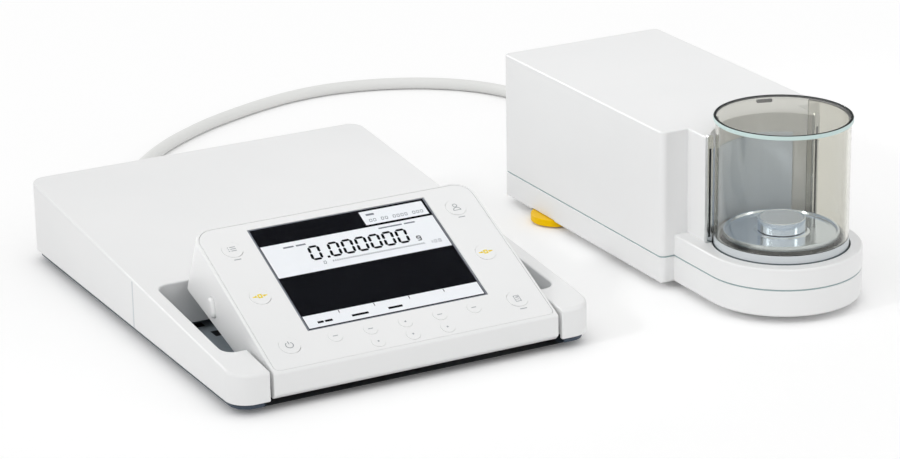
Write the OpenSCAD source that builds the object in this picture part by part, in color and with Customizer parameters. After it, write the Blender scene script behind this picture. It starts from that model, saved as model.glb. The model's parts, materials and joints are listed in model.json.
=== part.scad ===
// Two-unit micro balance: a control unit with a tilting display, joined by a cable
// to a weighing module with a round, rotating glass draft shield. Millimetres, +Z up, front towards -Y.

/* [Layout] */
// Clear distance between the two housings
unit_gap = 82; // [60:1:160]
// Distance of the weighing module's rear in front of the control unit's rear
module_setback = 59; // [0:1:120]

/* [Control housing] */
// Width of the control unit
control_w = 240; // [225:1:290]
// Depth of the control unit
control_d = 320; // [300:1:380]
// Height of the inclined top at the rear
control_rear_h = 54.5; // [50:0.5:75]
// Height of the inclined top at the front
control_front_h = 26.5; // [25:0.5:34]
// Height of the white walls' lower edge above the table
skirt_z = 7.5; // [7:0.25:9]
// Wall thickness of the control unit's shells
shell_t = 2.5; // [2:0.1:3.2]
// Corner radius at the rear
rear_corner_r = 10; // [6:0.5:16]
// Corner radius at the front
front_corner_r = 14; // [8:0.5:18]
// Distance of the side seam from the rear
seam_back = 171.5; // [120:0.5:178]
// Width of the side seam
seam_w = 0.4; // [0.2:0.1:1]
// Width of the arms beside the display
arm_w = 9; // [7:0.25:12]
// Length of the arms' wide front ends
hook_len = 32; // [28:1:44]
// Thickness of the wall round the display recess
recess_wall = 2; // [1.5:0.1:3]
// Height of that wall's lower edge
recess_wall_z = 10; // [9:0.5:14]
// Clearance behind the display's lower rear edge
recess_rear_gap = 1.8; // [1:0.1:6]
// Corner radius of the recess
recess_r = 8; // [4:0.5:10]

/* [Control base] */
// Height of the tray's underside
tray_z = 1.5; // [1:0.1:3]
// Thickness of the tray's floor
tray_floor_t = 2.5; // [2:0.1:2.8]
// Distance of the tray's upper edge inside the white walls
tray_inset = 3.5; // [3:0.1:6]
// Width of the tray's slanted underside
tray_bevel = 6; // [3:0.5:10]
// Height of the rim that locates the white walls
tray_rim_z = 13; // [11:0.5:18]
// Thickness of that rim
tray_rim_t = 2; // [1.5:0.1:3]
// Clearance between the rim and the white walls
tray_gap = 0.3; // [0.2:0.05:0.6]
// Radius of the control unit's rubber feet
foot_r = 8; // [6:0.5:10]
// Distance of the feet from the sides and ends
foot_inset = 26; // [22:1:36]
// Length of the main board
board_l = 110; // [80:1:120]
// Width of the main board
board_w = 150; // [110:1:160]
// Height of the main board
board_z = 12; // [10:0.5:16]

/* [Display] */
// Tilt of the display's face at rest, in degrees
display_tilt = 24.3; // [18:0.1:28]
// Width of the display
display_w = 189.5; // [182:0.5:200]
// Length of the display's face from its front lip to its upper edge
panel_len = 126.5; // [124:0.5:134]
// Height of the front lip's upper edge
lip_top_h = 24.1; // [22:0.1:28]
// Height of the front lip's lower edge
lip_z = 7.5; // [7:0.25:9]
// Slope cut off the lip's lower edge
lip_cut = 3; // [1:0.5:4]
// Depth of the display at its upper edge
display_depth = 41; // [36:0.5:44]
// Corner radius of the display's upper corners
display_r = 13; // [8:0.5:18]
// Distance of the keel under the display behind the front
keel_back = 22; // [18:0.5:28]
// Height of the keel
keel_z = 9.5; // [9:0.25:12]
// Gap between the lip's ends and the arms
lip_gap = 2.25; // [1.5:0.05:3]
// Width of the housing's edge round the key panel
panel_edge = 1.8; // [1.5:0.1:2.2]
// Width of the ledge under the key panel
panel_ledge = 1.2; // [1:0.1:1.3]
// Thickness of the key panel
panel_t = 2; // [1.6:0.1:2.6]
// Thickness of the screen's window
window_t = 1.4; // [1:0.1:1.6]
// Clearance round the key panel, the window and the back cover
panel_gap = 0.15; // [0.1:0.05:0.25]
// Width of the screen's picture
lcd_w = 118.2; // [110:0.1:122]
// Height of the screen's picture
lcd_h = 88.4; // [82:0.1:89]
// Distance of the picture's lower edge from the front lip
lcd_s = 29; // [28.5:0.1:30.5]
// Width of the screen's own frame round the picture
lcd_edge = 2.9; // [2.4:0.1:3.1]
// Thickness of the screen unit
lcd_t = 4; // [3.2:0.1:6]
// Distance of the hinge axis behind the front
hinge_back = 8; // [7:0.25:10]
// Height of the hinge axis
hinge_z = 14; // [13.5:0.25:15]
// Radius of the hinge pins
hinge_pin_r = 2.5; // [2:0.1:3]
// Radial clearance of running pins and studs
run_gap = 0.05; // [0.02:0.01:0.1]

/* [Keys] */
// Distance of the outer key columns from the middle
key_col_x = 76; // [73.5:0.5:82]
// Distance between neighbouring screen keys
key_pitch = 23.1; // [22:0.1:25]
// Distance of the arrow row from the front lip
key_row_arrow = 8.5; // [8.3:0.1:8.8]
// Distance of the screen key row from the front lip
key_row_screen = 19.5; // [19.2:0.1:19.8]
// Distance of the middle outer keys from the front lip
key_row_middle = 62.5; // [50:0.5:75]
// Distance of the upper outer keys from the front lip
key_row_upper = 104.5; // [95:0.5:108]
// Radius of the outer keys
key_big_r = 6.5; // [5:0.1:7]
// Radius of the screen and arrow keys
key_small_r = 4.4; // [3.5:0.1:4.6]
// Travel of a key
key_travel = 0.5; // [0.3:0.05:0.8]
// Height of a key above the panel
key_proud = 0.25; // [0.1:0.05:0.5]
// Clearance round a key
key_gap = 0.08; // [0.05:0.01:0.15]
// Length of the tilt release buttons
release_l = 12.5; // [10:0.5:14]
// Width of the tilt release buttons
release_w = 7.5; // [5:0.25:8]
// Height of the release buttons above the display's sides
release_proud = 2; // [1.7:0.1:3]
// Travel of the release buttons
release_travel = 1.3; // [1:0.1:1.5]
// Distance of the release buttons behind the control unit's front
release_back = 85; // [75:0.5:95]

/* [Weighing module] */
// Width of the weighing module
module_w = 121; // [112:0.5:140]
// Length of the module's box
module_len = 204; // [190:1:230]
// Height of the module
module_h = 105.5; // [96:0.5:112]
// Height of the base's underside above the table
base_z = 5; // [5:0.1:6]
// Height of the seam between base and cover
seam_z = 22.5; // [21:0.25:25]
// Thickness of the seal in the seam
seal_t = 1; // [0.6:0.1:1.4]
// Distance of the seal inside the walls
seal_inset = 0.6; // [0.3:0.1:1]
// Wall thickness of the module's base and cover
case_t = 3; // [2.5:0.1:3.5]
// Thickness of the base's floor
base_floor_t = 4; // [3.6:0.1:5]
// Corner radius of the module's box
case_r = 4; // [3.6:0.1:8]
// Distance of the draft shield's axis in front of the box
chamber_front = 44.5; // [43:0.5:50]
// Radius of the round front base
front_r = 51; // [50:0.5:56]
// Height of the front plate
plate_z = 36.5; // [36:0.1:38]
// Distance of the hollow in the column outside the turning ring
hollow_gap = 2.7; // [2:0.1:4]
// Distance of the column's front faces behind the shield's axis
column_face = 23; // [20:0.5:28]
// Width of the trim strips on the column
trim_w = 4.3; // [3.6:0.1:6]
// Overhang of the trim strips beside the column
trim_over = 0.8; // [0:0.1:1]
// Height of the trim strips above the column
trim_up = 2; // [0:0.1:4]
// Width of the slit in the column's trim strips
trim_slit = 1.4; // [0.8:0.1:1.8]
// Thickness of the trim strips
trim_t = 2.5; // [1.5:0.1:2.8]

/* [Draft shield] */
// Outer radius of the glass
glass_r = 42.1; // [41:0.1:42.5]
// Thickness of the glass
glass_t = 2; // [1.5:0.1:2.5]
// Height of the glass's upper edge
glass_z = 116.6; // [112:0.2:125]
// Thickness of the lid
lid_t = 2.8; // [2:0.1:4]
// Overhang of the lid round the glass
lid_over = 1.3; // [0.5:0.1:2]
// Gap between the glass and the lid
lid_gap = 0.2; // [0.1:0.05:0.4]
// Height of the ring that carries the glass above the front plate
ring_h = 5; // [4:0.1:6]
// Clearance above the front plate and under the ring
ring_gap = 0.3; // [0.2:0.05:0.5]
// Clearance between the ring and the walls round it
ring_side_gap = 1; // [0.8:0.05:1.2]
// Number of teeth inside the ring
ring_teeth = 60; // [60:12:72]
// Number of teeth on the drive pinion
pinion_teeth = 12; // [12:1:14]
// Thickness of the chamber's back sheet
back_t = 1.2; // [0.5:0.1:1.2]

/* [Weighing chamber] */
// Radius of the weighing pan
pan_r = 15; // [10:0.5:18]
// Height of the pan's surface
pan_z = 53.5; // [52:0.25:60]
// Height of the pan's wall
pan_h = 7; // [5:0.1:7.2]
// Thickness of the pan's metal
pan_t = 0.8; // [0.5:0.1:1.2]
// Radius of the chamber's floor dish
dish_r = 36.4; // [34:0.1:36.6]
// Height of the floor dish's underside
dish_z = 42.6; // [42.4:0.1:43]
// Height of the dish's rim
dish_rim_h = 3.4; // [3:0.1:4.5]
// Thickness of the dish
dish_t = 1.6; // [1:0.1:2]
// Radius of the post under the dish
hub_r = 20; // [18:0.5:20.5]
// Radius of the stem that carries the pan
stem_r = 3; // [2:0.1:3.6]

/* [Feet of the module] */
// Radius of the levelling wheels
wheel_r = 17; // [14:0.25:19]
// Thickness of the levelling wheels
wheel_t = 4.8; // [4.2:0.1:5.2]
// Height of the levelling wheels above the table
wheel_z = 1.2; // [1:0.1:1.4]
// Distance of the wheels' axes inside the module's sides
wheel_inset = 10; // [9:0.25:12]
// Distance of the wheels' axes in front of the module's rear
wheel_back = 53; // [44:0.5:70]
// Radius of the levelling studs
stud_r = 3; // [2.5:0.1:4]
// Height of the studs' upper ends
stud_z = 17; // [15:0.5:19]
// Radius of the pads under the levelling studs
pad_r = 6.4; // [5:0.1:8]
// Radius of the fixed front foot
front_foot_r = 9; // [6:0.5:10]
// Distance of the front foot in front of the shield's axis
front_foot_fwd = 13.5; // [10:0.5:30]

/* [Cable] */
// Diameter of the cable
cable_d = 8.8; // [6:0.1:9.6]
// Sideways place of the cable's exit from the control unit's middle
exit_x = -10; // [-40:1:20]
// Height of the cable's exit
exit_z = 20; // [18:0.5:30]
// Length of the strain relief behind the control unit
relief_l = 28; // [20:1:40]
// Radius of the strain relief at the wall
relief_r = 6; // [5:0.1:8]
// Sideways place of the module's socket from its middle
socket_x = 20; // [-20:1:30]
// Height of the module's socket
socket_z = 37; // [35:0.5:60]
// Radius of the module's socket
socket_r = 9.5; // [9:0.1:12]
// Length of the plug behind the module
plug_l = 36; // [28:1:44]
// Radius of the plug
plug_r = 8; // [7:0.1:8.5]
// Sideways place of the power inlet from the control unit's middle
inlet_x = 60; // [30:1:90]
// Radius of the power inlet
inlet_r = 5.5; // [5:0.1:8]
// Radius of the power inlet's hole
inlet_bore_r = 3.2; // [3.1:0.1:4]

/* [Screws] */
// Radius of the case screws
screw_r = 1.5; // [1.2:0.1:1.7]
// Radius of the case screws' heads
screw_head_r = 3; // [2.4:0.1:3.2]
// Height of the case screws' heads
screw_head_h = 1.1; // [0.8:0.1:1.3]
// Radius of the posts that take the case screws
post_r = 3.8; // [3.2:0.1:3.9]

/* [Hidden] */
$fn = 96;

// A little extra so that cuts pass through faces
eps = 0.5;
white = "#ececea";
slate = "#3c4856";
steel = "#c9ccce";
board_green = "#2f6b4a";

// Overall layout: the origin is in the middle of both units, on the table
wheel_over = wheel_r - wheel_inset;
chamber_y = -module_len - chamber_front;
module_reach = module_setback - chamber_y + front_r;
total_w = control_w + unit_gap + module_w + wheel_over;
total_d = max(control_d, module_reach);
control_cx = -total_w / 2 + control_w / 2;
control_rear_y = total_d / 2;
module_cx = total_w / 2 - wheel_over - module_w / 2;
module_rear_y = total_d / 2 - module_setback;

// Display profile, as points in the control unit's side view
function panel_pt(s, n) = [
  -control_d + s * cos(display_tilt) - n * sin(display_tilt),
  lip_top_h + s * sin(display_tilt) + n * cos(display_tilt)
];
rear_pt = panel_pt(panel_len, -display_depth);
keel_y = -control_d + keel_back;
function keel_line_z(y) = keel_z + (y - keel_y) * (rear_pt[1] - keel_z) / (rear_pt[0] - keel_y);
function top_z(y) = control_rear_h + y * (control_rear_h - control_front_h) / control_d;
ledge_n = panel_t + 2;
cavity_z = lip_z + shell_t + 0.5;
keel_lip = 2;
hinge_y = -control_d + hinge_back;
hinge_boss_r = hinge_pin_r + 2.1;
hinge_boss_l = 6;
recess_rear_y = rear_pt[0] + recess_rear_gap;
hook_y = -control_d + hook_len;
recess_half = control_w / 2 - arm_w;
hook_half = display_w / 2 + lip_gap;
// The cover is a little thicker in front of the seam
cover_step = 0.3;

// Keys: name, place across, place up the face, radius
key_list = [
  ["key_menu", -key_col_x, key_row_upper, key_big_r],
  ["key_tare_left", -key_col_x, key_row_middle, key_big_r],
  ["key_power", -key_col_x, key_row_screen, key_big_r],
  ["key_user", key_col_x, key_row_upper, key_big_r],
  ["key_tare_right", key_col_x, key_row_middle, key_big_r],
  ["key_print", key_col_x, key_row_screen, key_big_r],
  ["key_screen_1", -2 * key_pitch, key_row_screen, key_small_r],
  ["key_screen_2", -key_pitch, key_row_screen, key_small_r],
  ["key_up", 0, key_row_screen, key_small_r],
  ["key_screen_3", key_pitch, key_row_screen, key_small_r],
  ["key_screen_4", 2 * key_pitch, key_row_screen, key_small_r],
  ["key_left", -key_pitch, key_row_arrow, key_small_r],
  ["key_down", 0, key_row_arrow, key_small_r],
  ["key_right", key_pitch, key_row_arrow, key_small_r]
];
key_lip = 0.6;
key_lip_t = 0.7;
key_seat = 0.1;
dome_n = panel_t + key_seat + key_lip_t + key_travel + 0.1;
dome_r = 2.5;
circuit_t = 1.6;

// Release buttons: middle height and lean of the oval
release_y = -control_d + release_back;
release_z = keel_line_z(release_y) + 11;
release_lean = 18;
release_lip = 1.2;
release_lip_t = 1.5;
release_in = 6;

// Draft shield
ring_r = glass_r + 0.2;
well_r = ring_r + ring_side_gap;
hollow_r = ring_r + hollow_gap;
trim_in = sqrt(pow(ring_r + 0.8, 2) - pow(column_face - trim_t, 2));
column_half = trim_in + trim_w - trim_over;
column_w = 2 * column_half;
glass_mid = glass_r - glass_t / 2;
door_rear_half = acos(column_face / glass_mid);
door_arc = 360 - 2 * door_rear_half;
ring_top = plate_z + ring_gap + ring_h;
pitch_r = glass_r - 4.5;
gear_m = 2 * pitch_r / ring_teeth;
pinion_r = gear_m * pinion_teeth / 2;
pinion_x = pitch_r - pinion_r;
gear_add = gear_m;
gear_ded = 1.25 * gear_m;
tooth_w = 0.35 * PI * gear_m;
tooth_slope = tan(20);
well_z = seam_z + seal_t / 2 + 5.6;
skirt_bottom = well_z + ring_gap;
ring_lip = 1.5;
pinion_h = 5;
motor_r = 11;
motor_shaft_r = 1.5;
lid_z = glass_z + lid_gap;
back_half = 42;
back_drop = 12.5;
tab_turn = 75;

// Base and cover meet the seal on these levels
base_top = seam_z - seal_t / 2;
cover_z = seam_z + seal_t / 2;
base_floor_z = base_z + base_floor_t;
wheel_x = module_w / 2 - wheel_inset;
wheel_room = 0.6;
stud_post_r = stud_r + 3;
pad_h = 2.2;
pad_pin_r = 2;

// Case screws
control_screws_at = [
  [-control_w / 2 + 20, -30], [control_w / 2 - 20, -30],
  [-control_w / 2 + 12, -control_d + 20], [control_w / 2 - 12, -control_d + 20]
];
module_post_x = module_w / 2 - case_t - post_r - 0.2;
module_screws_at = [for (side = [-1, 1], y = [-25, -module_len + 24]) [side * module_post_x, y]];
screw_l = 12;

// Width of the flanges behind the rear wall
flange_w = 2;

// Boards and weigh cell inside the housings
board_back = 45;
stand_r = 3;
chip_w = 18;
chip_h = 2.1;
part_h = 11;
part_r = 4;
plug_strip_l = 60;
plug_strip_w = 6;
plug_strip_h = 5;
cell_w = 44;
cell_l = 84;
cell_h = 46;
cell_back = 8;
cell_slot = 2.5;
cell_slot_z = 10;
cell_end = 8;
cell_hinge = 22;
lever_w = 6;
lever_h = 5;
lever_gap = 1;
pivot_back = 42;
coil_back = 60;
coil_r = 12;
coil_t = 1.5;
coil_h = 14;
pot_r = 22;
pot_h = 41;
pot_core_r = 8;
pot_slot_r = 14;
pot_slot_h = 16;
carrier_w = 8;
carrier_h = 5;
carrier_gap = 2;
stem_seat = 2.3;
signal_l = 84;
signal_h = 52;
signal_back = 66;
signal_z = 34;
signal_gap = 3;
signal_chip = 22;

// Cable route on the table, from behind the control unit round to the module's rear
cable_r = cable_d / 2;
floor_z = cable_r;
relief_tip = [control_cx + exit_x, control_rear_y + relief_l, exit_z];
plug_tip = [module_cx + socket_x, module_rear_y + plug_l, socket_z];
cable_route = concat(
  [relief_tip, relief_tip + [0, 20, -1]],
  [
    [-114.8, 247, 13.6], [-113, 266, 7.8], [-108.5, 283.5, 4.8], [-100.5, 298.5, floor_z],
    [-88.5, 312.4, floor_z], [-75, 326.6, floor_z], [-58, 341.8, floor_z], [-38, 356.2, floor_z],
    [-14, 371, floor_z], [13, 383.7, floor_z], [41, 394.6, floor_z], [70, 402.2, floor_z],
    [99, 404.4, floor_z], [127, 400.2, floor_z], [153, 391.2, floor_z], [176, 378, floor_z],
    [195, 361, floor_z], [209, 341.5, floor_z], [217.5, 320.5, floor_z], [220.5, 299.5, floor_z],
    [218.5, 279.5, 4.6], [212.5, 261, 6], [204.5, 244, 9.5], [196, 228, 15.5], [188, 212.5, 23],
    [181.6, 198, 29.9], [178.3, 184.6, 34.8]
  ],
  [plug_tip + [0, 14, 0], plug_tip]
);
cable_sides = 10;
cable_steps = 2;

function spline(a, b, c, d, t) = 0.5 * (2 * b + (c - a) * t + (2 * a - 5 * b + 4 * c - d) * t * t
  + (3 * b - a - 3 * c + d) * t * t * t);
function unit(v) = v / norm(v);
function at_end(p, i) = p[max(0, min(len(p) - 1, i))];
function smooth(p, n) = [
  for (i = [0:len(p) - 2], k = [0:n - 1]) spline(at_end(p, i - 1), p[i], p[i + 1], at_end(p, i + 2), k / n),
  p[len(p) - 1]
];
function along(p, i) = unit(at_end(p, i + 1) - at_end(p, i - 1));
function tube_ring(p, i, r, n, dir) = let(side = unit(cross(dir, [0, 0, 1])), up = cross(side, dir))
  [for (k = [0:n - 1]) p[i] + r * (cos(360 * k / n) * side + sin(360 * k / n) * up)];

// Closed tube along a path, with both end faces square to -Y or +Y where it meets its fittings
module tube(path, r, n) {
  last = len(path) - 1;
  rings = [for (i = [0:last]) each tube_ring(path, i, r, n,
    i == 0 ? [0, 1, 0] : i == last ? [0, -1, 0] : along(path, i))];
  sides = [for (i = [0:last - 1], k = [0:n - 1])
    let(a = i * n + k, b = i * n + (k + 1) % n) each [[a, b, b + n], [a, b + n, a + n]]];
  ends = concat(
    [for (k = [1:n - 2]) [0, k + 1, k]],
    [for (k = [1:n - 2]) [last * n, last * n + k, last * n + k + 1]]
  );
  polyhedron(rings, concat(sides, ends), convexity = 6);
}

// Local frames
module in_control() {
  translate([control_cx, control_rear_y, 0]) children();
}
module in_panel() {
  in_control() translate([0, -control_d, lip_top_h]) rotate([display_tilt, 0, 0]) children();
}
module in_module() {
  translate([module_cx, module_rear_y, 0]) children();
}
module on_axis() {
  in_module() translate([0, chamber_y, 0]) children();
}

// Extrudes a side view, drawn as depth and height, over a width
module along_x(w) {
  rotate([90, 0, 90]) linear_extrude(w, center = true) children();
}

// Rectangle with its own corner radius at the front and at the rear
module plan_rect(w, front, rear, front_radius, rear_radius) {
  mid = (front + rear) / 2;
  translate([-w / 2, front + front_radius]) square([w, rear - rear_radius - front - front_radius]);
  translate([-w / 2 + front_radius, front]) square([w - 2 * front_radius, mid - front]);
  translate([-w / 2 + rear_radius, mid]) square([w - 2 * rear_radius, rear - mid]);
  for (side = [-1, 1]) {
    translate([side * (w / 2 - front_radius), front + front_radius]) circle(front_radius);
    translate([side * (w / 2 - rear_radius), rear - rear_radius]) circle(rear_radius);
  }
}

// Control unit's outside, drawn in by an inset, from z0 up to a drop below the inclined top
module control_form(inset, z0, drop) {
  intersection() {
    translate([0, 0, z0]) linear_extrude(control_rear_h)
      plan_rect(control_w - 2 * inset, -control_d + inset, -inset,
        front_corner_r - inset, rear_corner_r - inset);
    along_x(control_w) polygon([
      [-control_d - 1, z0 - 1], [1, z0 - 1], [1, top_z(1) - drop],
      [-control_d - 1, top_z(-control_d - 1) - drop]
    ]);
  }
}

// Opening for the display: wide beside it, narrow between the arms' front ends
module recess_plan(grow) {
  plan_rect(2 * (recess_half + grow), hook_y - grow, recess_rear_y + grow, recess_r + grow, recess_r + grow);
  translate([-hook_half - grow, -control_d - 1]) square([2 * (hook_half + grow), hook_len + recess_r + 1]);
}

module control_top_cover() {
  color(white) in_control() {
    difference() {
      union() {
        difference() {
          control_form(0, skirt_z, 0);
          control_form(shell_t, skirt_z - 1, shell_t + cover_step);
        }
        intersection() {
          control_form(0, recess_wall_z, 0);
          linear_extrude(control_rear_h) recess_plan(recess_wall);
        }
      }
      translate([0, 0, -1]) linear_extrude(control_rear_h + 2) recess_plan(0);
      along_x(control_w + 2) polygon([
        [-seam_back, skirt_z - 1], [1, skirt_z - 1], [1, top_z(1) - shell_t],
        [-seam_back, top_z(-seam_back) - shell_t]
      ]);
      for (side = [-1, 1]) translate([side * hook_half, hinge_y, hinge_z]) rotate([0, 90, 0])
        cylinder(h = 4 * recess_wall, r = hinge_pin_r + run_gap, center = true);
    }
    for (at = control_screws_at) translate([at[0], at[1], tray_z + tray_floor_t])
      screw_post(top_z(at[1]) - shell_t / 2 - tray_z - tray_floor_t);
  }
}

// Post with a pilot hole for a case screw
module screw_post(h) {
  difference() {
    cylinder(h = h, r = post_r);
    translate([0, 0, -eps]) cylinder(h = screw_l, r = screw_r + run_gap);
  }
}

module control_rear_skirt() {
  color(white) in_control() difference() {
    control_form(0, skirt_z, shell_t + run_gap);
    control_form(shell_t, skirt_z - 1, -control_rear_h);
    translate([-control_w, -2 * control_d, 0]) cube([2 * control_w, 2 * control_d - seam_back + seam_w, 200]);
    translate([exit_x, 0, exit_z]) rotate([90, 0, 0])
      cylinder(h = 3 * shell_t, r = relief_r + run_gap, center = true);
    translate([inlet_x, 0, exit_z]) rotate([90, 0, 0])
      cylinder(h = 3 * shell_t, r = inlet_r + run_gap, center = true);
  }
}

// Slab of the tray's outline at an inset
module tray_slab(inset, z0, h) {
  translate([0, 0, z0]) linear_extrude(h)
    plan_rect(control_w - 2 * inset, -control_d + inset, -inset,
      front_corner_r - shell_t, rear_corner_r - shell_t);
}

module control_base_tray() {
  rim_out = shell_t + tray_gap;
  floor_top = tray_z + tray_floor_t;
  color(slate) in_control() {
    difference() {
      union() {
        hull($fn = 32) {
          tray_slab(tray_inset + tray_bevel, tray_z, eps);
          tray_slab(tray_inset, floor_top, eps);
        }
        tray_slab(rim_out, floor_top, tray_rim_z - floor_top);
      }
      tray_slab(rim_out + tray_rim_t, floor_top, tray_rim_z);
      translate([-hook_half - recess_wall - 1, -control_d - 1, floor_top])
        cube([2 * (hook_half + recess_wall + 1), hook_len, tray_rim_z]);
      for (at = [[exit_x, relief_r], [inlet_x, inlet_r]]) translate([at[0], 0, exit_z]) rotate([90, 0, 0])
        cylinder(h = 2 * tray_rim_z, r = at[1] + flange_w + tray_gap);
      for (at = control_screws_at) translate([at[0], at[1], 0]) {
        cylinder(h = 3 * tray_rim_z, r = screw_r + 0.2, center = true);
        translate([0, 0, tray_z - 1]) cylinder(h = screw_head_h + 1, r = screw_head_r + 0.2);
      }
    }
    for (side = [-1, 1], end = [-1, 1])
      translate([side * (board_w / 2 - 2 * stand_r),
        -board_l / 2 - board_back + end * (board_l / 2 - 2 * stand_r),
        floor_top]) cylinder(h = board_z - floor_top, r = stand_r);
  }
}

module control_feet() {
  color("#2a2d31") in_control()
    for (x = [-control_w / 2 + foot_inset, control_w / 2 - foot_inset],
      y = [-foot_inset, -control_d + foot_inset + 14])
      translate([x, y, 0]) cylinder(h = tray_z, r = foot_r);
}

// Countersunk-style case screw, head down
module case_screw() {
  difference() {
    union() {
      cylinder(h = screw_head_h, r = screw_head_r);
      cylinder(h = screw_l, r = screw_r);
    }
    for (turn = [0, 90]) rotate([0, 0, turn]) cube([3 * screw_r, 0.8, screw_head_h], center = true);
  }
}

module control_screws() {
  color(steel) in_control() for (at = control_screws_at) translate([at[0], at[1], tray_z]) case_screw();
}

module main_board() {
  color(board_green) in_control() translate([0, -board_back - board_l / 2, board_z]) {
    translate([-board_w / 2, -board_l / 2, 0]) cube([board_w, board_l, circuit_t]);
    for (x = [-2.5, 0, 2.5]) translate([(x - 0.5) * chip_w, -chip_w / 2, circuit_t - 0.1])
      cube([chip_w, chip_w, chip_h]);
    for (x = [-14, -8, 8]) translate([x * part_r, board_l / 2 - 3 * part_r, circuit_t - 0.1])
      cylinder(h = part_h, r = part_r);
    translate([-plug_strip_l / 2, -board_l / 2 + circuit_t, circuit_t - 0.1])
      cube([plug_strip_l, plug_strip_w, plug_strip_h]);
  }
}

module power_inlet() {
  depth = 14;
  color("#1d1f22") in_control() translate([inlet_x, 0, exit_z]) rotate([90, 0, 0]) difference() {
    union() {
      cylinder(h = depth, r = inlet_r);
      translate([0, 0, shell_t]) cylinder(h = 3, r = inlet_r + flange_w);
    }
    translate([0, 0, -eps]) cylinder(h = depth - 3, r = inlet_bore_r);
  }
}

// Bush in the wall and a boot that tapers towards the cable
module cable_relief() {
  color("#d4d6d6") in_control() translate([exit_x, 0, exit_z]) {
    rotate([90, 0, 0]) cylinder(h = 4 + shell_t, r = relief_r);
    translate([0, -shell_t, 0]) rotate([90, 0, 0]) cylinder(h = 2, r = relief_r + flange_w);
    rotate([-90, 0, 0]) cylinder(h = relief_l, r1 = relief_r, r2 = cable_r + 0.6);
  }
}

module module_cable() {
  color("#d9dbda") tube(smooth(cable_route, cable_steps), cable_r, cable_sides);
}

plug_nose = 8;
module cable_plug() {
  grip = 20;
  color("#c4c7c8") in_module() translate([socket_x, 0, socket_z]) {
    rotate([90, 0, 0]) cylinder(h = plug_nose, r = plug_r - 1);
    rotate([-90, 0, 0]) {
      cylinder(h = grip, r = plug_r);
      translate([0, 0, grip]) cylinder(h = plug_l - grip, r1 = plug_r - 1, r2 = cable_r + 0.6);
    }
  }
}

module module_socket() {
  depth = plug_nose + 6;
  color("#24272b") in_module() translate([socket_x, 0, socket_z]) rotate([90, 0, 0]) difference() {
    union() {
      cylinder(h = depth, r = socket_r);
      translate([0, 0, case_t]) cylinder(h = 2, r = socket_r + 2.5);
    }
    translate([0, 0, -eps]) cylinder(h = plug_nose + 2 * eps, r = plug_r - 1 + run_gap);
  }
}

// Block on the display's face: place across, up the face and along its normal
module panel_block(w, s0, s1, bottom_radius, top_radius, n0, n1) {
  in_panel() translate([0, 0, n0]) linear_extrude(n1 - n0) plan_rect(w, s0, s1, bottom_radius, top_radius);
}

// Oval prism of a release button's outline, along X
module release_oval(grow, x0, x1) {
  span = (release_l - release_w) / 2;
  radius = release_w / 2 + grow;
  translate([0, release_y, release_z]) rotate([-release_lean, 0, 0]) translate([x0, 0, 0]) {
    for (end = [-1, 1]) translate([0, 0, end * span]) rotate([0, 90, 0]) cylinder(h = x1 - x0, r = radius);
    translate([0, -radius, -span]) cube([x1 - x0, 2 * radius, 2 * span]);
  }
}

module display_housing() {
  inner_w = display_w - 2 * shell_t;
  inner_s = panel_len - shell_t;
  color(white) difference() {
    intersection() {
      in_control() along_x(display_w) polygon([
        panel_pt(0, 0), panel_pt(panel_len, 0), rear_pt, [keel_y, keel_z],
        [-control_d + lip_cut, lip_z], [-control_d, lip_z + lip_cut]
      ]);
      panel_block(display_w, -panel_len, panel_len, 1, display_r, -3 * display_depth, 1);
    }
    difference() {
      intersection() {
        in_control() along_x(inner_w) polygon([
          panel_pt(panel_edge + panel_ledge, -ledge_n), panel_pt(inner_s, -ledge_n),
          panel_pt(inner_s, -2 * display_depth), [keel_y + keel_lip, -display_depth],
          [keel_y + keel_lip, cavity_z], [-control_d + shell_t + 1, cavity_z],
          [-control_d + shell_t + 1, lip_top_h - ledge_n]
        ]);
        panel_block(inner_w, -panel_len, inner_s, 1, display_r - shell_t, -3 * display_depth, 1);
      }
      in_control() for (side = [-1, 1]) translate([side * (inner_w / 2 - hinge_boss_l / 2), hinge_y, hinge_z])
        rotate([0, 90, 0]) cylinder(h = hinge_boss_l + 1, r = hinge_boss_r, center = true);
    }
    panel_block(display_w - 2 * panel_edge, panel_edge, panel_len - panel_edge,
      panel_edge + 2, display_r - panel_edge, -panel_t, 1);
    panel_block(display_w - 2 * (panel_edge + panel_ledge), panel_edge + panel_ledge,
      panel_len - panel_edge - panel_ledge, panel_edge + 1,
      display_r - panel_edge - panel_ledge, -ledge_n - 1, 1);
    in_control() {
      for (side = [-1, 1]) translate([side * inner_w / 2, hinge_y, hinge_z]) rotate([0, 90, 0])
        cylinder(h = 4 * hinge_boss_l, r = hinge_pin_r + run_gap, center = true);
      release_oval(key_gap, -display_w, -inner_w / 2 + eps);
      release_oval(key_gap, inner_w / 2 - eps, display_w);
    }
  }
}

module display_back_cover() {
  front = keel_y + keel_lip + panel_gap;
  rear = rear_pt[0] + display_depth;
  color(white) intersection() {
    in_control() along_x(display_w) polygon([
      [front, keel_line_z(front)], [rear, keel_line_z(rear)],
      [rear, keel_line_z(rear) + shell_t], [front, keel_line_z(front) + shell_t]
    ]);
    panel_block(display_w - 2 * (shell_t + panel_gap), -panel_len, panel_len - shell_t - panel_gap,
      1, display_r - shell_t - panel_gap, -3 * display_depth, 1);
  }
}

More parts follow.
